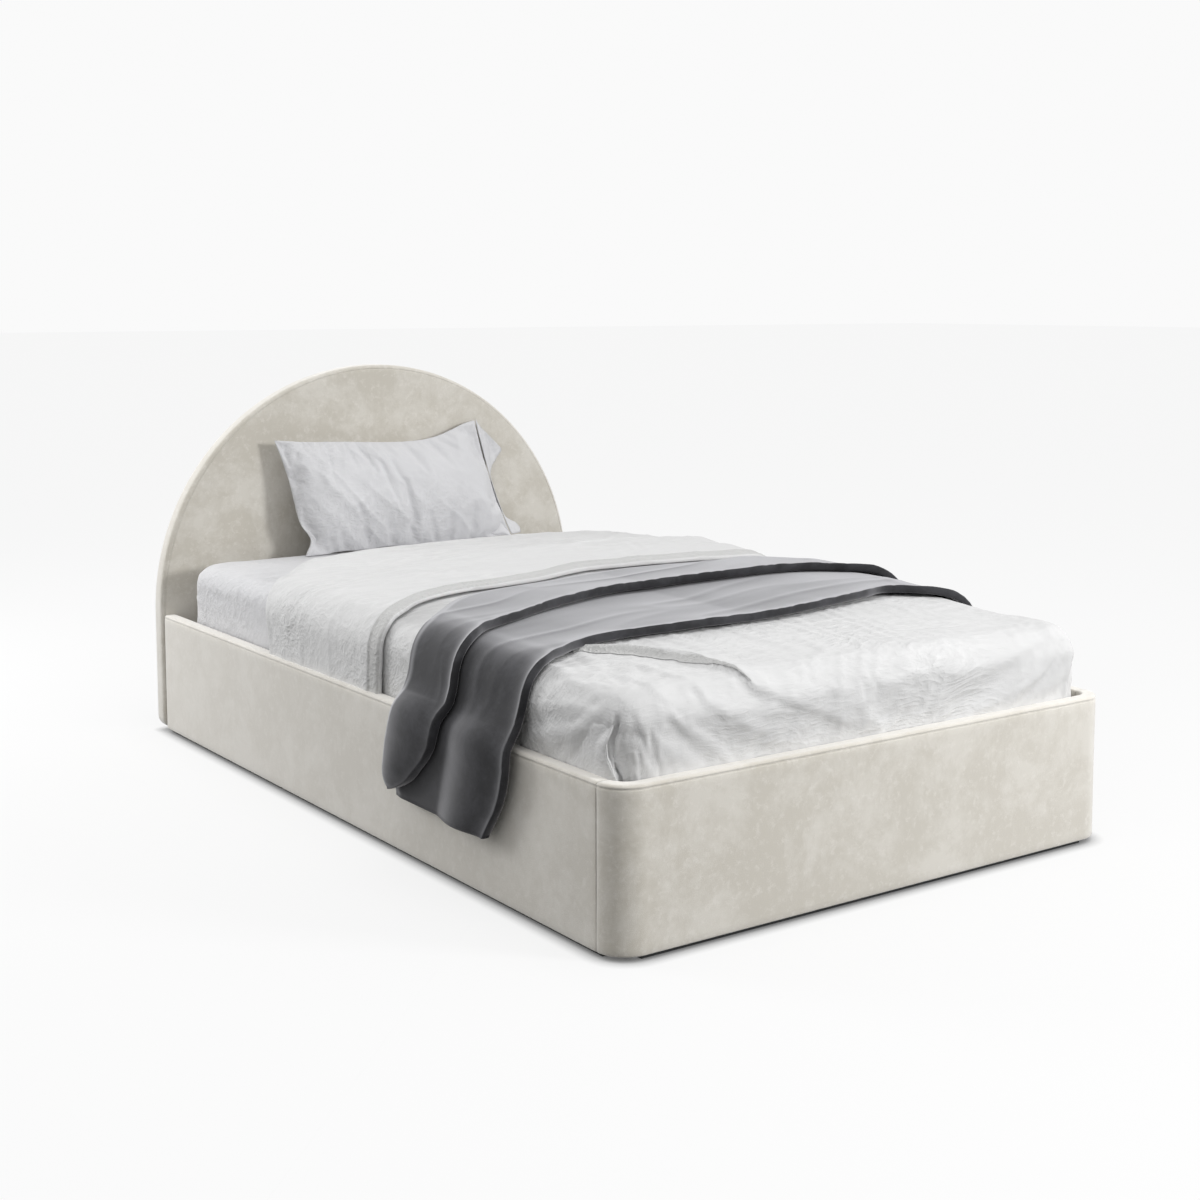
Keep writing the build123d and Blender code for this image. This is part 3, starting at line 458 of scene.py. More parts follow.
print("screen 190,185,178 is linear", np.round(from_screen(190, 185, 178), 3))

# %% [markdown]
# ## Velvet
# The frame's cover is a short-pile velvet with a cloudy nap: where the pile lies the
# other way, patches look lighter, with small pale specks. It brightens towards its
# edges, as pile does: partly the shader's own sheen and partly a painted sheen, a paler
# tone mixed into the colour by viewing angle. The clouds only change the colour a
# little, or the fabric would look dirty.

# %% Velvet
velvet = one_group_finish(
    "velvet", ((206, 201, 190), (220, 216, 207)), 0.85, nap, {"Scale": 7.0, "Specks": 60.0}, 0.0006,
    ("Height", "Clouds"), sheen=(0.55, 0.45), specular=0.1)
group_node = next(n for n in velvet.node_tree.nodes if n.type == "GROUP")
half_specks = Builder(velvet.node_tree).math("MULTIPLY", group_node.outputs["Specks"], 0.5)
lay_over(velvet, half_specks, (232, 228, 221))
# Painted sheen: a paler tone mixed into the velvet's colour where it is seen at a grazing angle.
paint_sheen_by_angle(velvet, (243, 240, 234), 0.9, 1.7)
print("velvet has", len(velvet.node_tree.nodes), "nodes")

# %% [markdown]
# ## Bed linen, throw and ticking
# The duvet cover is washed linen, the sheet and pillowcase a finer cotton, and the
# throw a grey satin-backed velvet that is dark where one looks straight at it and
# pale where one looks along it. That difference is mostly a painted sheen, a paler
# tone mixed into its colour by viewing angle, over a little of the shader's own sheen.


# %% Cloth materials
def creased_cloth(name, tones, creases, threads, roughness=0.9, mask=None, **more):
    """Cloth with (scale, across, height) creases over a weave of (threads per metre, height)."""
    bump = [(small_creases, "Height", {"Scale": scale, "Across X": across}, height)
            for scale, across, height in creases]
    bump.append((weave, "Height", {"Threads per metre": threads[0]}, threads[1]))
    # Unless another mask is given, the colour is painted shade from the creases: paler on their ridges,
    # darker between.
    return finish_of(name, tones, roughness, bump, mask or (small_creases, "Crease shade", bump[0][2]), **more)


duvet_linen = creased_cloth(
    "duvet_linen", ((213, 213, 213), (226, 226, 226)), [(34.0, 0.30, 0.0019), (95.0, 0.26, 0.0014)],
    (620.0, 0.00025), sheen=(0.1, 0.5))
# The hem linen is a darker copy of the linen: painted shade, used on the turned-back layer's hem band and on
# the band beside the first fold.
hem_shade_linen = creased_cloth(
    "hem_shade_linen", ((196, 196, 195), (210, 210, 209)), [(90.0, 0.9, 0.0020)], (620.0, 0.00025),
    sheen=(0.1, 0.5))
white_linen = creased_cloth(
    "white_linen", ((210, 210, 212), (221, 221, 223)), [(30.0, 0.8, 0.0022), (110.0, 0.6, 0.0012)],
    (900.0, 0.0002), sheen=(0.1, 0.5))
grey_satin = creased_cloth(
    "grey_satin", ((49, 49, 51), (64, 64, 67)), [(9.0, 0.5, 0.0015)], (1100.0, 0.00012), 0.72,
    (nap, "Clouds", {"Scale": 9.0, "Specks": 80.0}), sheen=(0.05, 0.3), specular=0.12)
# Painted sheen: near-white mixed into the throw's dark colour where it is seen at a grazing angle.
paint_sheen_by_angle(grey_satin, (250, 250, 254), 0.50, 4.6)
ticking = one_group_finish(
    "mattress_ticking", ((205, 205, 206), (224, 224, 226)), 0.9, weave, {"Threads per metre": 260.0},
    0.0008, ("Height", "Height"))
one_group_finish(
    "dust_cloth", ((38, 38, 40), (52, 52, 54)), 0.95, weave, {"Threads per metre": 400.0}, 0.0004,
    ("Height", "Height"))
print("cloth materials:", list(finishes))

# %% [markdown]
# ## Wood, steel, plastic and foam
# These show from below and through the slats: birch plywood slats with grain along
# them, softwood cleats, particle board, black powder-coated tube, zinc fittings and
# moulded plastic holders. Each gets its grain or its fine texture at true scale.

# %% Hard materials
for name, tones, roughness, along_y, scale, height in (
        ("slat_ply", ((196, 160, 116), (226, 198, 156)), 0.5, 0.0, 60.0, 0.0003),
        ("timber", ((190, 152, 104), (222, 190, 142)), 0.6, 1.0, 45.0, 0.0004)):
    one_group_finish(name, tones, roughness, grain, {"Along Y": along_y, "Scale": scale}, height,
                     ("Height", "Grain"))
for name, tones, roughness, scale, specks, height in (
        ("board", ((168, 138, 100), (204, 178, 138)), 0.75, 40.0, 160.0, 0.0004),
        ("black_plastic", ((30, 30, 31), (44, 44, 45)), 0.5, 40.0, 900.0, 0.0002),
        ("holder_plastic", ((48, 48, 50), (62, 62, 64)), 0.42, 50.0, 1000.0, 0.00015),
        ("foam", ((226, 211, 158), (238, 226, 180)), 0.95, 20.0, 240.0, 0.001)):
    one_group_finish(name, tones, roughness, nap, {"Scale": scale, "Specks": specks}, height)
one_group_finish(
    "zinc", ((168, 170, 173), (196, 198, 200)), 0.38, nap, {"Scale": 60.0, "Specks": 300.0}, 0.0001,
    ("Clouds", "Clouds"), metallic=0.9)
finish_of(
    "base_steel", ((46, 47, 50), (60, 61, 64)), 0.45,
    [(nap, "Specks", {"Scale": 30.0, "Specks": 700.0}, 0.00015)],
    (nap, "Clouds", {"Scale": 12.0, "Specks": 700.0}))
print("finishes by now:", len(finishes))

# %% [markdown]
# ## Finishes for the CAD nodes
# The CAD pieces keep their shape and place. Only the material in each one's slot
# changes, chosen by the finish that its record names.

# %% Assign finishes
slot_of = {row["node"]: row["material_slot"] for row in frame["record"]["subparts"]}
for name, item in nodes.items():
    for place_in_list in item.material_slots:
        place_in_list.material = finishes[slot_of[name]]
print("finished", len(nodes), "CAD nodes in", len(set(slot_of.values())), "materials")

# %% [markdown]
# ## The rail covers
# Each rail wears one piece of velvet: up the outer face, over a padded top, down
# the inside and turned under the board. A seam runs just under the outer top edge, and
# upright seams join the covers where the two rounded corners begin. The section is
# swept along each rail, and slow noise between the seams gives the cloth its slack.

# %% Rail section
rail_out, foot_out = 0.638, -1.070
rail_head, corner_at, corner_radius = 1.020, -1.006, 0.064
rail_top, face_points = 0.317, 26
seam_height = rail_top - 0.008


def rail_section():
    """(depth from the outer face, height) points of the cover, closed."""
    outer = [(0.0, z) for z in np.linspace(0.014, seam_height - 0.004, face_points)]
    seam = [(0.0006, seam_height - 0.002), (0.0024, seam_height), (0.0004, seam_height + 0.0018)]
    turn_over = [(0.0068 - 0.0068 * math.cos(a), rail_top - 0.0062 + 0.0062 * math.sin(a))
                 for a in np.linspace(0.15, math.pi / 2, 6)]
    top = [(u, rail_top) for u in np.linspace(0.0105, 0.0255, 5)]
    inner_turn = [(0.0262 + 0.0036 * math.sin(a), rail_top - 0.0036 + 0.0036 * math.cos(a))
                  for a in np.linspace(0.3, math.pi / 2, 4)]
    inside = [(0.030, z) for z in np.linspace(0.300, 0.233, 6)]
    back = [(0.0272, z) for z in np.linspace(0.233, 0.3145, 5)]
    lining = [(0.0022, 0.3145)] + [(0.0022, z) for z in np.linspace(0.29, 0.0125, 6)]
    under = [(0.014, 0.0125), (0.014, 0.0102), (0.0035, 0.0100), (0.0012, 0.0112)]
    return np.array(outer + seam + turn_over + top + inner_turn + inside + back + lining + under)


section = rail_section()
print("rail section has", len(section), "points")

# %% [markdown]
# A sweep needs the path's points and its inward direction at each. The side rails
# are straight and the foot rail has two round corners, so one function takes any path.
# Where the covers meet, the last centimetre sinks a little, as sewn fabric does.


# %% Rail covers
def sweep_cover(word, path, inward, seed):
    """Sweeps the rail section along a path of (x, y) with inward directions."""
    run = run_along(path)
    depth, height = section.T
    end_sink = 0.0016 * (np.exp(-run / 0.004) + np.exp(-(run[-1] - run) / 0.004))
    on_face = ((np.arange(len(section)) < face_points) * blend_in(height, 0.012, 0.03)
               * (1 - blend_in(height, rail_top - 0.03, rail_top - 0.012)))
    slack = 0.0007 * soft_noise(np.stack(np.broadcast_arrays(
        run[:, None] * 5, height[None] * 6, np.full((1, 1), seed * 3.1)), -1), seed)
    pucker = 0.0005 * flat_noise(run[:, None] * 55, height[None] * 2, seed + 3) \
        * np.exp(-np.abs(height[None] - seam_height) / 0.008)
    inset = depth[None] + end_sink[:, None] * (depth[None] < 0.02) \
        - slack * on_face[None] + pucker * (depth[None] < 0.004)
    inset = np.maximum(inset, -0.0006)
    points = np.zeros((len(path), len(section), 3))
    points[..., :2] = path[:, None] + inward[:, None] * inset[..., None]
    points[..., 2] = height[None] - end_sink[:, None] * (height[None] > rail_top - 0.004)
    faces = grid_faces(len(path), len(section), wrap_columns=True)
    return make_piece(word + "_rail_velvet", points, faces, velvet,
                      [word + "_rail_cover", word + "_rail_foam"])


seam_gap = 0.0006
along = np.concatenate([[corner_at + seam_gap], corner_at + np.array([0.002, 0.005, 0.01]),
                        np.linspace(corner_at + 0.02, rail_head - 0.02, 150),
                        rail_head - np.array([0.01, 0.005, 0.002, 0.0004])])
for side, word in ((-1, "left"), (1, "right")):
    path = np.stack([np.full(len(along), side * rail_out), along], 1)
    inward = np.tile([-float(side), 0.0], (len(along), 1))
    sweep_cover(word, path, inward, 3 + side)
arc = np.linspace(0, math.pi / 2, 22)
straight = rail_out - corner_radius
left_turn = np.stack([-straight - corner_radius * np.cos(arc), corner_at - corner_radius * np.sin(arc)], 1)
middle = np.linspace(-straight, straight, 92)[1:-1]
right_turn = np.stack([straight + corner_radius * np.sin(arc), corner_at - corner_radius * np.cos(arc)], 1)
path = np.concatenate([left_turn, np.stack([middle, np.full(len(middle), foot_out)], 1), right_turn])
path[[0, -1], 1] -= seam_gap
inward = np.concatenate([
    np.stack([np.cos(arc), np.sin(arc)], 1), np.tile([0.0, 1.0], (len(middle), 1)),
    np.stack([-np.sin(arc), np.cos(arc)], 1)])
sweep_cover("foot", path, inward, 9)

# %% [markdown]
# ## The headboard
# It is a half-round padded board on short straight sides. A seam runs round the front
# just inside the edge, the rim is a band of its own, and the back is covered in black
# dust cloth inside a turned edge. Rings of the outline are laid from the back's
# turned edge over the rim and in to the middle of the front.

# %% Headboard cover
board_half, spring, floor_gap = 0.645, 0.321, 0.010
front, back = 1.020, 1.070
steps = np.linspace(math.pi, 0, 120)
arch = np.stack([board_half * np.cos(steps), spring + board_half * np.sin(steps)], 1)
corner = np.linspace(0, math.pi / 2, 7)
foot_round = 0.03
foot_x, foot_z = board_half - foot_round, floor_gap + foot_round
left_foot = np.stack([-foot_x - foot_round * np.cos(corner), foot_z - foot_round * np.sin(corner)], 1)
sill = np.linspace(-foot_x, foot_x, 80)[1:-1]
right_foot = np.stack([foot_x + foot_round * np.sin(corner), foot_z - foot_round * np.cos(corner)], 1)
side_up = np.linspace(foot_z, spring, 24)[1:-1]
side_x = np.full(len(side_up), board_half)
outline = np.concatenate([
    np.stack([-side_x, side_up[::-1]], 1), left_foot, np.stack([sill, np.full(len(sill), floor_gap)], 1),
    right_foot, np.stack([side_x, side_up], 1), arch[::-1]])
outward = np.roll(outline, -1, 0) - np.roll(outline, 1, 0)
outward = np.stack([outward[:, 1], -outward[:, 0]], 1)
outward /= np.linalg.norm(outward, axis=1, keepdims=True)
rim_rings = [(0.026, back - 0.0002), (0.014, back)]
rim_rings += [(0.010 - 0.010 * math.sin(a), back - 0.010 + 0.010 * math.cos(a))
              for a in np.linspace(0.2, math.pi / 2, 6)]
rim_rings += [(-0.0006, y) for y in np.linspace(back - 0.014, front + 0.018, 5)]
rim_rings += [(0.012 - 0.012 * math.cos(a), front + 0.012 - 0.011 * math.sin(a))
              for a in np.linspace(0.1, 1.25, 8)]
rim_rings += [(0.0098, front + 0.0008), (0.0106, front + 0.0026), (0.0114, front + 0.0008),
              (0.014, front + 0.0001)]
middle_point = np.array([0.0, 0.38])
rings = []
for inset, y in rim_rings:
    flat = outline - outward * inset
    rings.append(np.stack([flat[:, 0], np.full(len(flat), y), flat[:, 1]], 1))
last = outline - outward * 0.014
for share in np.linspace(0, 1, 46)[1:]:
    flat = last + (middle_point - last) * share
    rings.append(np.stack([flat[:, 0], np.full(len(flat), front), flat[:, 1]], 1))
rings = np.array(rings)
seam_ring = 20
inside = np.zeros(rings.shape[:2])
inside[seam_ring + 2:] = 1
slack = 0.0009 * soft_noise(rings * np.array([5, 1, 5]), 21) * inside
near_seam = np.exp(-np.abs(np.arange(len(rings)) - seam_ring)[:, None] / 1.3)
rings[..., 1] += slack + 0.0004 * near_seam * flat_noise(
    np.cumsum(np.full(rings.shape[:2], 0.5), 1), np.zeros(rings.shape[:2]), 5)
faces = grid_faces(len(rings), len(outline), wrap_columns=True)
headboard = make_piece("headboard_velvet", rings, faces, velvet,
                       ["headboard_cover", "headboard_foam"])
print("headboard cover:", len(headboard.data.polygons), "faces, top at",
      round(float(rings[..., 2].max()), 4))

# %% [markdown]
# ## How cloth lies over the bed
# Sheet, duvet and throw all follow one idea. Cloth is thought of as unfolded flat, with
# s across the bed and t along it. A point on the mattress's flat top keeps its place. One
# beyond the top's rounded outline goes over a round shoulder and down the wall,
# by its distance from that outline. Creases are drawn on the flat cloth and fold with it.


# %% Drape function
def drape(s, t, half, foot, head, plan_round, shoulder, top, drop, lift=0.0):
    """Puts flat cloth coordinates on a rounded box; lift is the height above its skin."""
    s, t = np.asarray(s, float), np.asarray(t, float)
    mid, reach = (foot + head) / 2, (head - foot) / 2
    q_s, q_t = np.abs(s) - (half - plan_round), np.abs(t - mid) - (reach - plan_round)
    out_s, out_t = np.maximum(q_s, 0), np.maximum(q_t, 0)
    far = np.hypot(out_s, out_t)
    beyond = far + np.minimum(np.maximum(q_s, q_t), 0) - plan_round
    distance = np.clip(beyond, 0, drop)
    n_s = np.where(far > 0, out_s / np.maximum(far, 1e-9), 0) * np.sign(s)
    n_t = np.where(far > 0, out_t / np.maximum(far, 1e-9), 0) * np.sign(t - mid)
    base_s = np.where(beyond > 0, np.sign(s) * (half - plan_round) * (q_s > 0) + s * (q_s <= 0)
                      + n_s * plan_round, s)
    base_t = np.where(beyond > 0, (mid + np.sign(t - mid) * (reach - plan_round)) * (q_t > 0)
                      + t * (q_t <= 0) + n_t * plan_round, t)
    bend = np.clip(distance / shoulder, 0, math.pi / 2)
    out = shoulder * np.sin(bend)
    down = shoulder * (1 - np.cos(bend)) + np.maximum(distance - shoulder * math.pi / 2, 0)
    lift = np.broadcast_to(lift, s.shape)
    x = base_s + n_s * (out + lift * np.sin(bend))
    y = base_t + n_t * (out + lift * np.sin(bend))
    crown = top(base_s, base_t)
    return np.stack([x, y, crown - down + lift * np.cos(bend)], -1), beyond


def crowned(edge, rise, half, foot, head, puff=0.0):
    """A top that is highest in the middle of the bed, with more filling on the right."""
    def height(s, t):
        across = np.clip(1 - (s / half) ** 2, 0, 1)
        length = np.clip((t - foot) / 0.25, 0, 1) * np.clip((head - t) / 0.25, 0, 1)
        full = puff * blend_in(s, -0.1, 0.42) * blend_in(t, -0.88, -0.45) * (1 - blend_in(t, 0.40, 0.85))
        return edge + rise * across * (0.6 + 0.4 * length) + full
    return height


print("drape: a point 100 mm past the side lands at",
      np.round(drape(0.7, 0.0, 0.6, -1, 1, 0.03, 0.06, lambda s, t: 0.45, 0.2)[0], 3))

# %% [markdown]
# ## Mattress and fitted sheet
# The mattress is a plain sprung block with rounded edges. Over it goes a fitted sheet,
# pulled tight by elastic under the mattress, so it has only fine creases that run
# out from the corners and down the side. Only its head end shows, left of the pillow.

# %% Mattress and sheet
mattress_foot, mattress_head = -1.027, 0.958
plan_round, edge_round = 0.085, 0.046


def wrapped_block(half, foot, head, z_low, z_high, step):
    """Flat coordinates for a block's top and sides, and the box that drape folds them over."""
    top = lambda s, t: np.full(np.shape(s), z_high)
    flat_half, flat_foot, flat_head = half - edge_round, foot + edge_round, head - edge_round
    drop = edge_round * math.pi / 2 + (z_high - z_low - edge_round)
    s = np.linspace(-flat_half - drop, flat_half + drop, int(2 * (flat_half + drop) / step))
    t = np.linspace(flat_foot - drop, flat_head + drop, int((flat_head - flat_foot + 2 * drop) / step))
    s, t = np.meshgrid(s, t)
    return s, t, (flat_half, flat_foot, flat_head, plan_round - edge_round, edge_round, top, drop)


s, t, box = wrapped_block(0.5925, mattress_foot + 0.002, mattress_head - 0.002, 0.257, 0.4535, 0.016)
points, beyond = drape(s, t, *box)
mattress = make_piece("mattress_body", points, faces_within(beyond, box[-1]), ticking,
                      ["mattress"])
edges_under = mattress.modifiers.new("bottom", "SOLIDIFY")
edges_under.thickness = 0.004

s, t, box = wrapped_block(0.5955, mattress_foot, mattress_head, 0.2552, 0.4555, 0.010)
side_wave = 0.0016 * crease(s, t, 80, 0.16, 0.020, 31) + 0.0012 * crease(s, t, 60, 0.10, 0.028, 32)
top_wave = 0.0022 * crease(s, t, 20, 0.30, 0.05, 33) + 0.0012 * crease(s, t, -35, 0.16, 0.03, 34)
lift = 0.0004 + np.where(drape(s, t, *box)[1] > 0.02, side_wave, top_wave)
lift = np.where(t < 0.45, 0.0004, lift)
points, beyond = drape(s, t, *box, lift)
sheet = make_piece("fitted_sheet_cloth", points, faces_within(beyond, box[-1]), white_linen,
                   ["fitted_sheet"])
print("fitted sheet covers", round(cloth_area(sheet), 3), "square metres")

# %% [markdown]
# ## The duvet
# A thin linen duvet is tucked between mattress and rails, bulges over the foot with
# an envelope fold at each corner, and is turned back once at the head. The turned
# part is a second layer on the first. Both are open grids that get their thickness
# from a modifier or their own turned rows. Noise draws the small wrinkles; the big folds
# follow lines measured on the photograph, from under the throw to the foot.

# %% Duvet lower layer
duvet_half, duvet_foot, duvet_wall = 0.605, -1.037, 0.292
shoulder = 0.062
flat_half, flat_foot = duvet_half - shoulder, duvet_foot + shoulder
duvet_top = crowned(0.464, 0.013, flat_half, flat_foot, 0.95, 0.018)
duvet_drop = shoulder * math.pi / 2 + (0.464 - shoulder - duvet_wall)
plan_corner, past_head = 0.022, 1.4


def drape_duvet(s, t, lift):
    """Drapes over the duvet's own box, which runs on past the head so that only its foot is round."""
    return drape(s, t, flat_half, flat_foot, past_head, plan_corner, shoulder, duvet_top, duvet_drop, lift)


def from_line(s, t, line):
    """Distance of flat points from a line, their share along it, and whether they lie on its left."""
    best, share, on_left = np.full(s.shape, 1e9), np.zeros(s.shape), np.zeros(s.shape, bool)
    line = np.array(line)
    for i in range(len(line) - 1):
        (a_s, a_t), (d_s, d_t) = line[i], line[i + 1] - line[i]
        x = np.clip(((s - a_s) * d_s + (t - a_t) * d_t) / (d_s**2 + d_t**2), 0, 1)
        gap = np.hypot(s - a_s - x * d_s, t - a_t - x * d_t)
        nearer = gap < best
        best = np.where(nearer, gap, best)
        share = np.where(nearer, (i + x) / (len(line) - 1), share)
        on_left = np.where(nearer, d_s * (t - a_t) - d_t * (s - a_s) > 0, on_left)
    return best, share, on_left


def duvet_creases(s, t):
    """Height of the creases over the flat duvet, in metres."""
    past = np.maximum(np.abs(s) - flat_half, flat_foot - t)
    wall = blend_in(past, -0.03, 0.05)
    lift = 0.0020 * flat_noise(s * 3.1, t * 3.1, 41)
    lift += (1 - wall) * (0.0030 * crease(s, t, 12, 0.34, 0.075, 42) - 0.0014)
    lift += (1 - wall) * 0.0015 * crease(s, t, -24, 0.20, 0.045, 43)
    lift += wall * 0.0026 * crease(s, t, 66, 0.16, 0.045, 44)
    lift += (1 - wall) * 0.0012 * crease(s, t, 78, 0.22, 0.030, 47, 3.0) * blend_in(-t, 0.55, 0.80)
    for side in (-1, 1):
        d_s, d_t = s * side - (flat_half + 0.025), t - (flat_foot - 0.03)
        far, turn_by = np.hypot(d_s, d_t), np.arctan2(d_t, d_s)
        rays = 1 - np.abs(flat_noise(turn_by * 5.0 + 9 * (side > 0), far * 3.0, 46))
        lift += 0.003 * rays**4 * blend_in(far, 0.02, 0.08) * (1 - blend_in(far, 0.20, 0.52))
    return lift


def fold_ridge(s, t, line, height, soft=0.035, steep=0.010):
    """A fold along a line: it rises slowly on the line's left hand and falls steeply on its right."""
    gap, share, on_left = from_line(s, t, line)
    ends = np.sin(math.pi * np.clip(share, 0.03, 0.97)) ** 0.6
    return height * ends * np.exp(-(gap / np.where(on_left, soft, steep)) ** 1.6)


def duvet_envelope(s, t, side):
    """The gap beside the fold of spare cloth at a foot corner, cut into the surface."""
    a, b_ = s * side - (flat_half - plan_corner), flat_foot + plan_corner - t
    far, turn_by = np.hypot(a, b_), np.degrees(np.arctan2(b_, a))
    edge = np.interp(far, [0.083, 0.108, 0.143, 0.168, 0.203, 0.229],
                     [34, 37, 30, 31, 40, 45] if side < 0 else [43, 55, 68, 72, 79, 82])
    width = np.degrees(0.0060 / np.maximum(far, 0.05))
    groove = np.exp(-((turn_by - edge) / width) ** 2)
    lip = np.exp(-np.abs(turn_by - edge - side * 2.2 * width) / (2 * width)) * (side > 0)
    return blend_in(far, 0.090, 0.115) * (a > 0) * (b_ > -0.01) * (0.006 * lip - 0.016 * groove)


pleat_keys = [(-0.50, -0.64), (-0.433, -0.665), (-0.373, -0.752), (-0.345, -0.83), (-0.332, -0.90),
              (-0.325, -0.97), (-0.303, -1.035)]
pleat = np.stack([smooth_line([(i, key[axis]) for i, key in enumerate(pleat_keys)], np.linspace(0, 6, 37))
                  for axis in (0, 1)], 1)
fold_lines = [
    (pleat, 0.010, 0.030, 0.006),
    ([(-0.50, -0.64), (-0.433, -0.66), (-0.373, -0.752), (-0.33, -0.85), (-0.333, -0.958), (-0.303, -1.035),
      (-0.225, -1.071), (-0.131, -1.109), (-0.04, -1.15)], 0.0085, 0.036, 0.007),
    ([(-0.60, -0.775), (-0.56, -0.785), (-0.473, -0.775), (-0.430, -0.835), (-0.435, -0.965),
      (-0.413, -1.048), (-0.331, -1.098), (-0.243, -1.139), (-0.19, -1.165)], 0.0050, 0.024, 0.007),
    ([(-0.62, -0.82), (-0.545, -0.85), (-0.505, -0.895), (-0.510, -1.01), (-0.492, -1.06),
      (-0.452, -1.105), (-0.41, -1.15)], 0.0042, 0.018, 0.007),
    ([(-0.615, -0.915), (-0.582, -0.942), (-0.572, -0.994), (-0.57, -1.04), (-0.572, -1.09)],
     0.002, 0.014, 0.008),
    ([(-0.585, -0.975), (-0.578, -0.854), (-0.61, -0.745)], 0.005, 0.018, 0.010),
    ([(-0.617, -0.995), (-0.617, -0.875), (-0.644, -0.757)], 0.006, 0.018, 0.010),
    ([(-0.645, -0.995), (-0.650, -0.917), (-0.685, -0.782)], 0.005, 0.018, 0.010),
    ([(0.527, -1.057), (0.41, -1.114), (0.301, -1.148), (0.18, -1.172)], 0.007, 0.030, 0.012),
    ([(0.50, -0.90), (0.52, -0.99), (0.46, -1.09), (0.36, -1.165)], 0.004, 0.03, 0.012)]
step = 0.0115
s = np.linspace(-flat_half - duvet_drop, flat_half + duvet_drop, int(2 * (flat_half + duvet_drop) / step))
t = np.linspace(flat_foot - duvet_drop, 0.30, int((0.30 - flat_foot + duvet_drop) / step))
s, t = np.meshgrid(s, t)
points, beyond = drape_duvet(s, t, duvet_creases(s, t))
faces = faces_within(beyond, duvet_drop)
under, past = drape_duvet(s, t, -0.004)
trial = make_piece("duvet_trial", points, faces, duvet_linen)
form = make_piece("duvet_form", under, faces, duvet_linen)
used = np.unique(faces)
held = np.clip(blend_in(past.ravel(), duvet_drop - 0.030, duvet_drop - 0.010)
               + blend_in(t.ravel(), -0.68, -0.58), 0, 1)[used]
flat = points.reshape(-1, 3)
flat[used] = settle(trial, held, 0.006, 18, 0.009, [form], gravity=0.06)
points = flat.reshape(points.shape)
bpy.data.objects.remove(form)
bpy.data.objects.remove(trial)
fine, fine_s, fine_t = refine(points), refine(s[..., None])[..., 0], refine(t[..., None])[..., 0]
beyond = refine(beyond[..., None])[..., 0]
wall = blend_in(np.maximum(np.abs(fine_s) - flat_half, flat_foot - fine_t), -0.03, 0.05)
small = (1 - wall) * (0.0009 * crease(fine_s, fine_t, 6, 0.11, 0.020, 51, 1.5)
                      + 0.0007 * crease(fine_s, fine_t, -12, 0.06, 0.013, 52, 1.5))
small += wall * (0.0014 * crease(fine_s, fine_t, 62, 0.09, 0.019, 53, 1.5)
                 + 0.0009 * crease(fine_s, fine_t, 35, 0.06, 0.014, 54, 1.5))
small *= 0.35 + 0.65 * blend_in(flat_noise(fine_s * 5, fine_t * 5, 55), -0.4, 0.5)
small += duvet_envelope(fine_s, fine_t, -1) + duvet_envelope(fine_s, fine_t, 1)
small += sum(fold_ridge(fine_s, fine_t, *fold) for fold in fold_lines)
fine = fine + grid_normals(fine) * small[..., None]
duvet = make_piece("duvet_cover", fine, faces_within(beyond, duvet_drop - 1e-6), duvet_linen,
                   ["duvet"])
thick = duvet.modifiers.new("loft", "SOLIDIFY")
thick.thickness = 0.012
thick.offset = -1.0
print("duvet, lower layer:", len(duvet.data.polygons), "faces")

# %% [markdown]
# Where the first big fold comes out from under the throw, its steep side shows as a
# band of cloth in shade. That shade is painted here: the band is a narrow strip of
# darker linen laid on the duvet, its points looked up on the finished surface and
# lifted a little.

# %% Painted fold shade band
def on_duvet(s, t, clear):
    """Points over flat places of the finished duvet, a little way out from its surface."""
    i = (t - fine_t[0, 0]) / (fine_t[1, 0] - fine_t[0, 0])
    j = (s - fine_s[0, 0]) / (fine_s[0, 1] - fine_s[0, 0])
    i0, j0 = np.floor(i).astype(int), np.floor(j).astype(int)
    i, j = (i - i0)[..., None], (j - j0)[..., None]
    raised = fine + grid_normals(fine) * clear
    return ((raised[i0, j0] * (1 - j) + raised[i0, j0 + 1] * j) * (1 - i)
            + (raised[i0 + 1, j0] * (1 - j) + raised[i0 + 1, j0 + 1] * j) * i)


along, over = np.meshgrid(np.linspace(0.11, 0.97, 68), np.linspace(0, 1, 7))
place = np.linspace(0, 1, len(pleat))
way = np.gradient(pleat, axis=0)
way /= np.linalg.norm(way, axis=1, keepdims=True)
reach = (0.001 + 0.021 * over) * np.clip((1 - along) / 0.62, 0.04, 1)
band_s = np.interp(along, place, pleat[:, 0]) + reach * np.interp(along, place, way[:, 1])
band_t = np.interp(along, place, pleat[:, 1]) - reach * np.interp(along, place, way[:, 0])
band_points = on_duvet(band_s, band_t, 0.0010)
# A strip of darker linen: painted shade on the fold's steep side.
fold_shade_strip = make_piece("duvet_fold_shade_band", band_points, grid_faces(*over.shape), hem_shade_linen)
skin = fold_shade_strip.modifiers.new("skin", "SOLIDIFY")
skin.thickness, skin.offset = 0.0008, -1.0

# %% [markdown]
# At the foot corner the duvet's spare cloth is folded like an envelope. The flap lies on
# the side wall, its free edge stands a little proud, and that edge makes the dark gap.

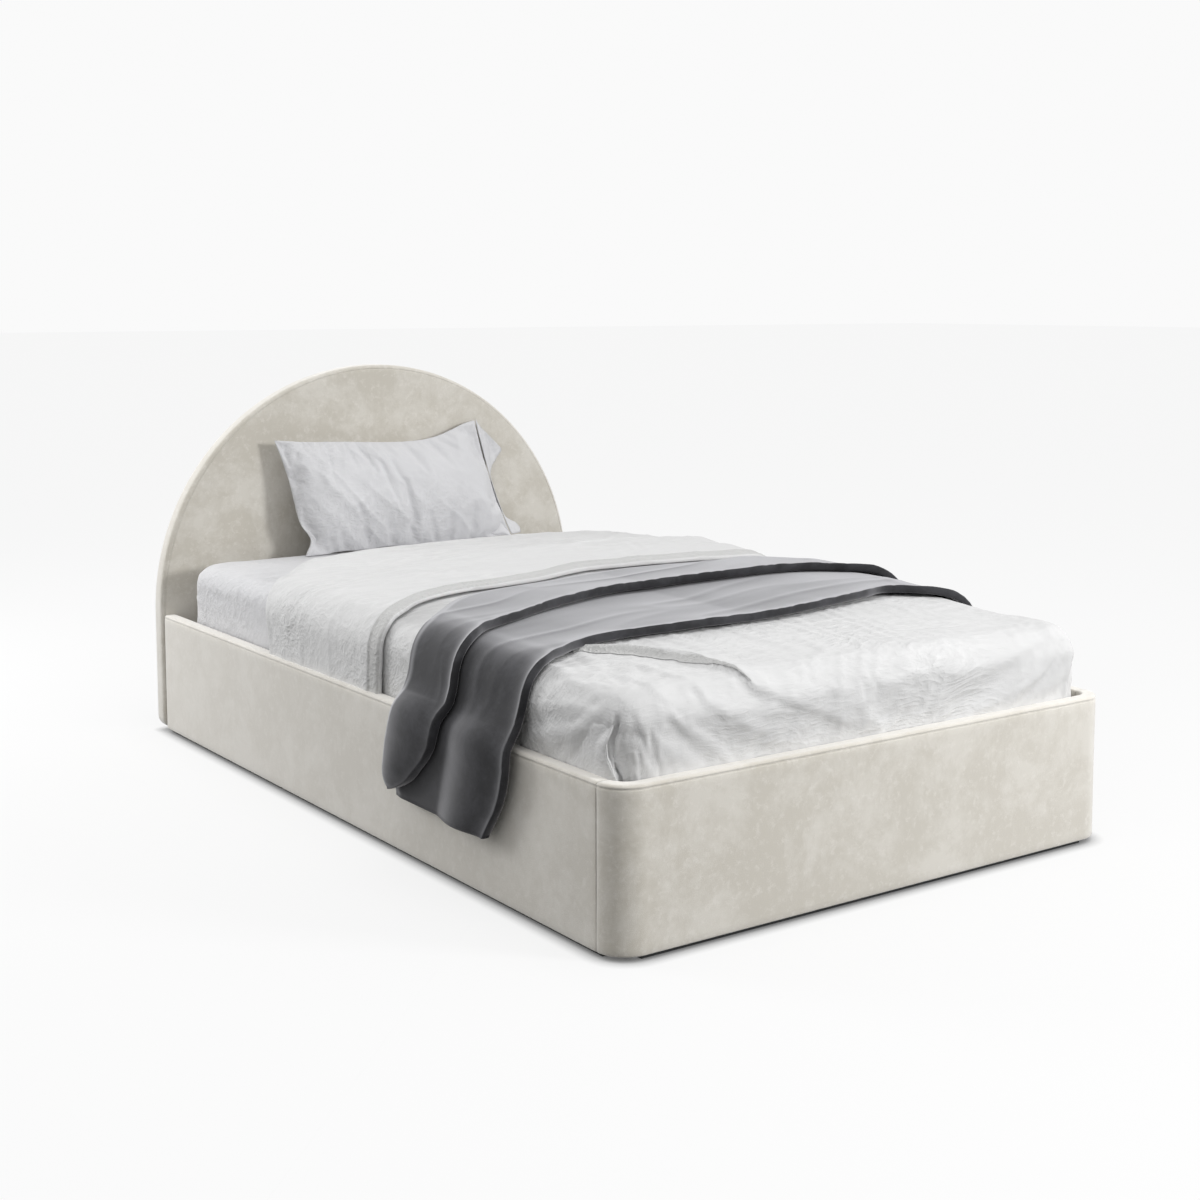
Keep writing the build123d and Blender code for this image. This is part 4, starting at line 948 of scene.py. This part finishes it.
# %% Corner flap
p_, q_ = np.meshgrid(np.linspace(0, 1, 26), np.linspace(0, 1, 34))
far = 0.097 + 0.131 * q_
free_edge = np.radians(np.interp(far, [0.097, 0.108, 0.125, 0.143, 0.168, 0.203, 0.229],
                                 [24, 34.5, 32.5, 28.5, 29.5, 38.5, 43.5]))
turned_by = np.clip((p_ - 0.2) / 0.65, 0, 1) * free_edge
turned_by = turned_by - np.radians(5) * blend_in(p_, 0.85, 1.0)
flap_s = -(flat_half - plan_corner + far * np.cos(turned_by))
flap_t = flat_foot + plan_corner - far * np.sin(turned_by) + 0.03 * np.clip((0.2 - p_) / 0.2, 0, 1)
edge_only = 0.25 + 0.45 * (1 - blend_in(q_, 0.05, 0.55))
proud = (0.013 * blend_in(p_, edge_only, 0.86) - 0.019 * blend_in(p_, 0.90, 1.0)) * blend_in(q_, 0.05, 0.40)
proud += 0.0015 * flat_noise(flap_s * 40, flap_t * 12, 57)
proud -= 0.0025 * (1 - blend_in(p_, 0.0, 0.25)) + 0.007 * (1 - blend_in(q_, 0.03, 0.18))
flap_points = drape_duvet(flap_s, flap_t, proud + 0.004)[0]
corner_flap = make_piece("duvet_corner_flap", flap_points, grid_faces(*p_.shape), duvet_linen)
skin = corner_flap.modifiers.new("skin", "SOLIDIFY")
skin.thickness, skin.offset = 0.0016, -1.0

# %% [markdown]
# The turned-back layer is wider than tall at its edge: a soft roll at the fold, and
# a flat hem towards the foot whose edge throws a thin shadow. Each column of the grid
# goes round the layer once: out along the underside, round the hem, back over the top
# and round the fold.

# %% Duvet turned-back layer
hem_line = [(-0.78, -0.165), (-0.70, -0.168), (-0.615, -0.170), (-0.583, -0.158), (-0.53, -0.112),
            (-0.45, -0.036), (-0.383, 0.0), (-0.305, 0.020), (-0.208, 0.022), (-0.134, 0.028),
            (-0.069, 0.040), (0.013, 0.066), (0.084, 0.076), (0.176, 0.055), (0.308, 0.025),
            (0.445, 0.012), (0.60, 0.0), (0.78, -0.02)]
fold_line = [(-0.78, 0.375), (-0.70, 0.385), (-0.62, 0.405), (-0.56, 0.450), (-0.497, 0.523), (-0.40, 0.631),
             (-0.30, 0.69), (-0.10, 0.715), (0.3, 0.72), (0.55, 0.70), (0.78, 0.62)]
high_fold = [(-0.45, 0.25), (-0.35, 0.294), (-0.103, 0.358), (0.001, 0.358), (0.111, 0.345), (0.295, 0.333),
             (0.492, 0.275), (0.60, 0.24)]
columns = np.linspace(-flat_half - duvet_drop, flat_half + duvet_drop, 190)
hem_t, fold_t = smooth_line(hem_line, columns), smooth_line(fold_line, columns)
layer = 0.022
profile = [(0.030, 0.004), (0.012, 0.004), (0.004, 0.0055), (-0.001, 0.010), (0.001, 0.0155), (0.006, 0.0195)]
rows_t, rows_lift = [], []
for near, up in profile:
    rows_t.append(hem_t + near)
    rows_lift.append(np.full(len(columns), up))
band = [(0.014, 0.0180), (0.022, 0.0188), (0.030, 0.0196), (0.0365, 0.0202), (0.0385, 0.0226)]
for inside, up in band:
    rows_t.append(hem_t + inside)
    rows_lift.append(np.full(len(columns), up))
first_top = len(rows_t) - 1
for share in np.linspace(0, 1, 84)[1:-1]:
    rows_t.append(hem_t + 0.041 + (fold_t - 0.020 - hem_t - 0.041) * share)
    rows_lift.append(np.full(len(columns), layer))
last_top = len(rows_t)
for a in np.linspace(0, math.pi, 12):
    rows_t.append(fold_t - 0.020 + 0.022 * math.sin(a))
    rows_lift.append(np.full(len(columns), layer / 2 + 0.001 + (layer / 2 + 0.001) * math.cos(a)))
rows_t, rows_lift = np.array(rows_t), np.array(rows_lift)
rows_s = np.tile(columns, (len(rows_t), 1))
upper = np.zeros(rows_s.shape)
upper[first_top:last_top] = 1
creases = duvet_creases(rows_s * 1.05 + 0.4, rows_t * 1.05)
rows_lift = rows_lift + np.clip(creases, -0.006, 0.02) * blend_in(rows_lift, 0.002, layer)
gap, share, _ = from_line(rows_s, rows_t, high_fold)
side_of = rows_t - smooth_line(high_fold, rows_s)
beyond_fold = np.clip(share * 5, 0, 1) * blend_in(rows_s, -0.45, -0.30)
second_fold = np.abs(side_of + 0.13) / np.where(side_of > -0.13, 0.016, 0.06)
rows_lift += upper * beyond_fold * 0.006 * np.exp(-second_fold ** 1.5)
rows_lift += upper * beyond_fold * (0.012 * np.exp(-(gap / np.where(side_of > 0, 0.016, 0.08)) ** 1.6)
                                    - 0.006 * blend_in(side_of, 0.0, 0.20))
rows_lift[last_top:] -= 0.006 * beyond_fold[last_top:] * blend_in(side_of[last_top:], 0.0, 0.20) * (
    rows_lift[last_top:] > 0.5 * layer)
rows_lift = np.maximum(rows_lift, 0.004)
points, beyond = drape_duvet(rows_s, rows_t, rows_lift)
faces = grid_faces(*rows_s.shape)
turned = make_piece("duvet_turned_back", points, faces, duvet_linen)
# The hem band's faces take the darker hem linen: painted shade on the band.
turned.data.materials.append(hem_shade_linen)
face_row = np.arange(len(faces)) // (len(columns) - 1)
in_band = (face_row >= 4) & (face_row < first_top)
turned.data.polygons.foreach_set("material_index", in_band.astype(int))
print("hem band:", in_band.sum(), "faces in rows", len(profile), "to", first_top)
print("duvet, turned-back layer:", len(turned.data.polygons), "faces")

# %% [markdown]
# ## The throw
# A grey throw is folded in two layers that have slipped apart, and lies across the bed.
# At the left it goes over the rail and hangs down outside it in two soft rolls. Its
# line across the bed is worked out once: over the duvet, off its shoulder, over
# the rail and down. Along that line each layer has a foot edge and a head edge.


# %% Throw
def line_at(line, run_at):
    """Points at given lengths along a line, and the outward directions there."""
    run = run_along(line)
    fine = np.linspace(0, run[-1], 400)
    x, z = [smooth_line(np.stack([run, line[:, axis]], 1), fine) for axis in (0, 1)]
    n_x, n_z = -np.gradient(z, fine), np.gradient(x, fine)
    size = np.hypot(n_x, n_z)
    pick = lambda v: np.interp(run_at, fine, v)
    return pick(x), pick(z), pick(n_x / size), pick(n_z / size)


base_line = np.array([
    (0.0, 0.4785), (0.20, 0.4765), (0.38, 0.472), (0.50, 0.4675), (0.543, 0.465), (0.572, 0.458),
    (0.592, 0.444), (0.604, 0.424), (0.611, 0.400), (0.618, 0.374), (0.628, 0.348), (0.640, 0.331),
    (0.649, 0.318), (0.6515, 0.300), (0.651, 0.270), (0.650, 0.22), (0.650, 0.16), (0.650, 0.08)])
edge_way = np.gradient(base_line, axis=0)
edge_way /= np.linalg.norm(edge_way, axis=1, keepdims=True)
base_line = base_line + np.stack([-edge_way[:, 1], edge_way[:, 0]], 1) * 0.004
run_marks = run_along(base_line)
rail_run = run_marks[12]
print("throw: rail edge is", round(rail_run, 3), "m from the middle, ends at", round(run_marks[-1], 3))


def throw_layer(foot_keys, head_keys, end, thick):
    """Closed layer: rows go round its section, columns run across the bed."""
    columns = np.linspace(-end, end, 240)
    foot_t, head_t = smooth_line(foot_keys, columns), smooth_line(head_keys, columns)
    rows = []
    half_thick = thick / 2
    for a in np.linspace(-math.pi / 2, math.pi / 2, 9):
        rows.append((foot_t + half_thick - half_thick * math.cos(a), half_thick + half_thick * math.sin(a)))
    for share in np.linspace(0, 1, 64)[1:-1]:
        rows.append((foot_t + half_thick + (head_t - foot_t - thick) * share, thick))
    for a in np.linspace(math.pi / 2, -math.pi / 2, 9):
        rows.append((head_t - half_thick + half_thick * math.cos(a), half_thick + half_thick * math.sin(a)))
    for share in np.linspace(1, 0, 64)[1:-1]:
        rows.append((foot_t + half_thick + (head_t - foot_t - thick) * share, 0.0))
    t_ = np.array([row[0] for row in rows])
    up = np.array([np.full(len(columns), row[1]) for row in rows])
    return np.tile(columns, (len(rows), 1)), t_, up, foot_t, head_t


def throw_piece(name, foot_keys, head_keys, end, base, thick, seed, bulge, stands_for=()):
    """A layer laid along the throw's line; bulge gives how far its hanging end stands out."""
    s_, t_, up, foot_t, head_t = throw_layer(foot_keys, head_keys, end, thick)
    swell = np.exp(-np.abs(t_ - foot_t) / 0.018)
    thin_head = 0.45 + 0.55 * blend_in(head_t - t_, 0.0, 0.035)
    pinch = np.clip(np.abs(flat_noise(s_ * 34, t_ * 3, seed)) * 1.6, 0, 1) ** 0.5
    hanging = blend_in(np.abs(s_), rail_run - 0.09, rail_run + 0.03)
    share = np.clip((t_ - foot_t) / np.maximum(head_t - foot_t, 1e-4), 0, 1)
    lift = base + up * thin_head * (1 + 1.3 * swell * (0.78 + 0.22 * pinch))
    lift += (1 - hanging) * (0.0016 * crease(s_, t_, 8, 0.5, 0.07, seed + 1)
                             + 0.002 * flat_noise(s_ * 5, t_ * 5, seed + 2))
    lift += hanging * bulge(share, np.abs(s_))
    x, z, n_x, n_z = line_at(base_line, np.abs(s_))
    sign = np.where(s_ < 0, -1.0, 1.0)
    fuller = duvet_top(np.clip(s_, -0.54, 0.54), t_) - duvet_top(-np.clip(s_, -0.54, 0.54), t_)
    fuller = np.maximum(fuller, 0) * blend_in(z, 0.32, 0.44)
    points = np.stack([sign * (x + n_x * lift), t_, z + n_z * lift + fuller], -1)
    rows, columns = s_.shape
    faces = grid_faces(rows, columns, wrap_rows=True)
    i = np.arange(rows // 2 - 1)
    ends = [np.stack([(4 - i) % rows, (3 - i) % rows, (6 + i) % rows, (5 + i) % rows], 1) * columns,
            np.stack([(5 + i) % rows, (6 + i) % rows, (3 - i) % rows, (4 - i) % rows], 1) * columns
            + columns - 1]
    return make_piece(name, points, np.concatenate([faces, *ends]), grey_satin, stands_for)


def mirrored(left_keys, middle_keys, shift):
    """Keys for the whole width: the left side's own, the middle, and the left's again on the right."""
    right = [(-a, b_ + shift) for a, b_ in reversed(left_keys)]
    return left_keys + middle_keys + right


lower_foot = mirrored([(-0.925, -0.680), (-0.842, -0.738), (-0.766, -0.762), (-0.703, -0.757),
                       (-0.638, -0.760), (-0.586, -0.752), (-0.52, -0.715), (-0.441, -0.674)],
                      [(-0.341, -0.660), (-0.205, -0.674), (-0.077, -0.680), (0.10, -0.676),
                       (0.219, -0.660), (0.34, -0.634)], 0.065)
upper_foot = mirrored([(-0.902, -0.335), (-0.894, -0.362), (-0.88, -0.395), (-0.834, -0.458),
                       (-0.788, -0.505), (-0.722, -0.528), (-0.638, -0.525), (-0.586, -0.508),
                       (-0.528, -0.465), (-0.414, -0.412)],
                      [(-0.284, -0.355), (-0.115, -0.303), (0.077, -0.305), (0.208, -0.318),
                       (0.33, -0.332)], 0.07)
upper_head = mirrored([(-0.902, -0.312), (-0.894, -0.298), (-0.88, -0.290), (-0.847, -0.293),
                       (-0.80, -0.302), (-0.754, -0.320), (-0.698, -0.327), (-0.65, -0.330),
                       (-0.608, -0.318), (-0.578, -0.300), (-0.509, -0.232), (-0.429, -0.157)],
                      [(-0.349, -0.112), (-0.278, -0.098), (-0.131, -0.078), (-0.013, -0.055),
                       (0.102, -0.060), (0.332, -0.114)], 0.06)
lower_head = [(place, value - 0.012) for place, value in upper_head[3:-3]]
lower_head = [(-0.925, -0.315)] + lower_head + [(0.925, -0.262)]
throw_low = throw_piece(
    "throw_lower_layer", lower_foot, lower_head, 0.922, 0.003, 0.009, 61,
    lambda share, s_: 0.017 * np.sin(math.pi * np.clip(share / 0.52, 0, 1)) ** 1.3, ["throw"])
throw_high = throw_piece(
    "throw_upper_layer", upper_foot, upper_head, 0.900, 0.017, 0.010, 71,
    lambda share, s_: 0.021 * np.sin(math.pi * share) ** 0.7 * np.sqrt(np.clip((0.903 - s_) / 0.05, 0, 1)))

# %% [markdown]
# ## The pillow
# It stands on the mattress and leans back on the headboard. A pillow is a crowned bag:
# thick in the middle, thin at its sewn edge, with sides that pull in between the
# corners. It is made lying flat, then tipped up to its lean.

# %% Pillow
pillow_w, pillow_h = 0.676, 0.320
u, v = np.meshgrid(np.linspace(-1, 1, 97), np.linspace(-1, 1, 55))
x = u * pillow_w / 2 * (1 - 0.035 * (1 - v**2))
y = v * pillow_h / 2 * (1 - 0.035 * (1 - u**2))
x += 0.010 * flat_noise(u * 2, v * 2, 80) * (1 - u**2)
dome = (np.clip(1 - np.abs(u) ** 2.6, 0, 1) ** 0.55) * (np.clip(1 - np.abs(v) ** 2.4, 0, 1) ** 0.6)
rows, columns = u.shape
is_rim = (np.abs(u) == 1) | (np.abs(v) == 1)
front_index = np.arange(rows * columns)
back_index = np.where(is_rim.ravel(), front_index, front_index + rows * columns)
front_faces = grid_faces(rows, columns)
pillow_faces = np.concatenate([front_faces, back_index[front_faces][:, ::-1]])
bag = np.concatenate([np.stack([x, y, 0.020 * dome], -1).reshape(-1, 3),
                      np.stack([x, y, -0.020 * dome], -1).reshape(-1, 3)])
trial = make_piece("pillow_trial", bag, pillow_faces, white_linen)
used = np.unique(pillow_faces)
rim_held = (np.tile(is_rim.ravel(), 2) * 0.9)[used]
bag[used] = settle(trial, rim_held, 0.030, 26, 0.11, bending=0.4, pressure=2.4)
bpy.data.objects.remove(trial)
bag[back_index[is_rim.ravel()]] = bag[front_index[is_rim.ravel()]]
print("pillow filled to", np.round(np.ptp(bag[np.unique(pillow_faces)], axis=0), 3), "m")
both_u, both_v = np.tile(u.ravel(), 2), np.tile(v.ravel(), 2)
to_rim = np.minimum(pillow_w / 2 * (1 - np.abs(both_u)), pillow_h / 2 * (1 - np.abs(both_v)))
fade = np.clip(np.tile(dome.ravel(), 2) * 1.6, 0, 1)
bag[:, 2] *= 0.132 / np.ptp(bag[np.unique(pillow_faces), 2])
bag[:, 2] = bag[:, 2] * 0.25 + 0.75 * np.sign(bag[:, 2]) * np.minimum(
    np.abs(bag[:, 2]), 0.072 * np.sin(np.clip(to_rim / 0.125, 0, 1) * math.pi / 2))
bag[:, 2] += fade * np.sign(bag[:, 2] + 1e-9) * (
    0.006 * crease(bag[:, 0], bag[:, 1], 58, 0.22, 0.060, 81)
    + 0.0055 * crease(bag[:, 0], bag[:, 1], -52, 0.16, 0.045, 82)
    + 0.004 * np.exp(-to_rim / 0.02) * flat_noise(bag[:, 0] * 45, bag[:, 1] * 12, 85)
    + 0.001 * crease(bag[:, 0], bag[:, 1], 74, 0.09, 0.020, 83))
front_rim = front_index[is_rim.ravel()]
bag[front_rim, :2] *= 1 + 0.003 / np.linalg.norm(bag[front_rim, :2], axis=1, keepdims=True)
bag[back_index[is_rim.ravel()]] = bag[front_rim]
bag[:, 2] -= 0.012 * np.exp(-((both_u + 0.30) / 0.30) ** 2 - ((both_v - 0.40) / 0.45) ** 2) * (bag[:, 2] > 0)
bag[:, 0] += 0.026 * np.exp(-((both_u + 1) / 0.22) ** 2 - ((both_v + 0.70) / 0.20) ** 2)
corner_pull = np.exp(-((both_u - 1) ** 2 + (both_v - 1) ** 2) / 0.09)
bag[:, 1] += 0.036 * corner_pull + 0.006 * np.exp(-((both_u + 1) ** 2 + (both_v - 1) ** 2) / 0.05)
bag[:, 0] -= 0.004 * np.exp(-((both_u + 1) ** 2 + (both_v - 1) ** 2) / 0.05)
bag[:, 1] -= 0.012 * np.exp(-((both_u - 0.35) / 0.5) ** 2) * blend_in(both_v, 0.3, 1.0)
lean = math.radians(13)
pillow_base_y, pillow_base_z, pillow_rise = 0.909, 0.4575, 0.312


def stand(flat):
    """From the pillow lying flat to the pillow leaning on the headboard."""
    up = np.maximum(flat[..., 1] + pillow_rise / 2, 0.0)
    bottom = np.exp(-up / 0.03)
    z = flat[..., 2] * (1 + 0.10 * bottom)
    left, right = np.clip(-flat[..., 0], 0, 1), np.clip(flat[..., 0], 0, 1)
    px = flat[..., 0] - 0.012 - 0.118 * (up / pillow_rise - 0.5)
    px = px + (0.020 + 0.165 * left + 0.09 * right) * up / pillow_rise
    py = pillow_base_y + 0.045 * flat[..., 0] + up * math.sin(lean) - z * math.cos(lean)
    scallop = 0.006 * np.clip(flat_noise(flat[..., 0] * 13, flat[..., 0] * 0 + 2.0, 84), 0, 1) * bottom
    pz = pillow_base_z + scallop + up * math.cos(lean) + z * math.sin(lean) * blend_in(up, 0.0, 0.08)
    return np.stack([px, np.minimum(py, 1.0165), np.maximum(pz, pillow_base_z)], -1)


points = stand(bag)
pillow = make_piece("pillow_case", points, pillow_faces, white_linen, ["pillow"])
rounder = pillow.modifiers.new("rounder", "SUBSURF")
rounder.levels = rounder.render_levels = 1
print("pillow spans", np.round(points.min(0), 3), np.round(points.max(0), 3))

# %% [markdown]
# The pillowcase is longer than its pillow. The empty end folds back at the right edge,
# stands up as a corner behind the pillow and rolls out on the mattress below. It is
# a strip that starts on the pillow's sewn edge.

# %% Pillowcase flap
edge_points = bag.reshape(2, rows, columns, 3)[0][:, -1][2:]
rail_v = np.linspace(0, 1, len(edge_points))
width = np.interp(rail_v, [0, 0.05, 0.11, 0.17, 0.60, 0.70, 0.84, 1.0],
                  [0.050, 0.062, 0.055, 0.010, 0.010, 0.032, 0.092, 0.012])
turn_back = np.radians(np.interp(rail_v, [0, 0.12, 0.25, 0.60, 0.75, 1.0], [30, 35, 60, 60, 34, 34]))
strips = []
for out in np.linspace(0, 1, 16):
    turned_so_far = turn_back * min(out * 2.4, 1.0)
    wave = 0.006 * np.sin(rail_v * 9 + 1.2) * out
    strips.append(stand(edge_points + np.stack([
        out * width * np.cos(turned_so_far) + wave, -0.012 * out * rail_v,
        -out * width * np.sin(turned_so_far)], -1)))
strips = np.array(strips)
strips[..., 1] = np.minimum(strips[..., 1], 1.014)
flap = make_piece("pillow_case_flap", strips, grid_faces(*strips.shape[:2]), white_linen)
hem = flap.modifiers.new("hem", "SOLIDIFY")
hem.thickness = 0.0016

# %% [markdown]
# ## Floor and light
# The photograph is a white-ground studio picture. The main light is a softbox in front
# on the right, a larger one stands behind on the left, one very wide sun lights the
# tops, and the world fills evenly. The floor's glow is white only to the camera, and
# an ambient occlusion factor takes it back in narrow gaps: a painted contact shade
# under and beside the bed. Its own grey takes the bed's shadow.


# %% Floor and light
def emptied(owner):
    """A builder for an owner's emptied node tree, and 1 on what the camera, mirrors and glass see."""
    owner.use_nodes = True
    owner.node_tree.nodes.clear()
    b = Builder(owner.node_tree)
    rays = b.node("ShaderNodeLightPath").outputs
    seen = b.math("MAXIMUM", b.math("MAXIMUM", rays["Is Camera Ray"], rays["Is Glossy Ray"]),
                  rays["Is Transmission Ray"])
    return b, seen


scene = bpy.context.scene
scene.view_settings.view_transform = "Standard"
world = bpy.data.worlds.new("studio")
scene.world = world
b, seen = emptied(world)
shine = b.node("ShaderNodeBackground", {"Color": (0.955, 0.955, 0.955, 1), "Strength": 1.0})
fill = b.node("ShaderNodeBackground", {"Color": (1, 1, 1, 1), "Strength": 0.64})
both = b.node("ShaderNodeMixShader", {0: seen, 1: fill.outputs[0], 2: shine.outputs[0]})
b.node("ShaderNodeOutputWorld", {"Surface": both.outputs[0]})

floor_mesh = bpy.data.meshes.new("floor")
floor_mesh.from_pydata([(-60, -60, 0), (60, -60, 0), (60, 60, 0), (-60, 60, 0)], [], [(0, 1, 2, 3)])
floor = bpy.data.objects.new("floor", floor_mesh)
bpy.context.collection.objects.link(floor)
floor_finish = bpy.data.materials.new("floor")
b, seen = emptied(floor_finish)
# Painted contact shade: ambient occlusion darkens the floor's glow under and right beside the bed.
contact_shade = b.node("ShaderNodeAmbientOcclusion", {"Distance": 0.03})
contact_shade.samples = 8
strength = b.math("MULTIPLY", b.math("MULTIPLY", seen, contact_shade.outputs["AO"]), 0.775)
ground = b.node("ShaderNodeBsdfDiffuse", {"Color": (0.17, 0.17, 0.17, 1)})
glow = b.node("ShaderNodeEmission", {"Color": (1, 1, 1, 1), "Strength": strength})
b.node("ShaderNodeOutputMaterial",
       {"Surface": b.node("ShaderNodeAddShader", {0: ground.outputs[0], 1: glow.outputs[0]}).outputs[0]})
floor_mesh.materials.append(floor_finish)


def lamp(name, kind, comes_from, energy, at=(0, 0, 0), **settings):
    """A lamp at a place whose light comes from a direction; settings are its angle or its size."""
    data = bpy.data.lights.new(name, kind)
    data.energy = energy
    for key, value in settings.items():
        setattr(data, key, value)
    made = bpy.data.objects.new(name, data)
    made.location = at
    made.rotation_mode = "QUATERNION"
    made.rotation_quaternion = Vector(comes_from).to_track_quat("Z", "Y")
    bpy.context.collection.objects.link(made)


def softbox(name, at, aim, energy, size):
    """A square area lamp at a place, aimed at a point."""
    lamp(name, "AREA", Vector(at) - Vector(aim), energy, at, size=size)


softbox("main_light", (2.2, -4.2, 1.8), (0.0, 0.0, 0.4), 112, 1.0)
lamp("top_light", "SUN", (0.05, -0.10, 1.0), 0.78, angle=math.radians(45))
softbox("back_light", (-2.6, 2.6, 1.5), (-0.5, 0.6, 0.5), 54, 1.6)
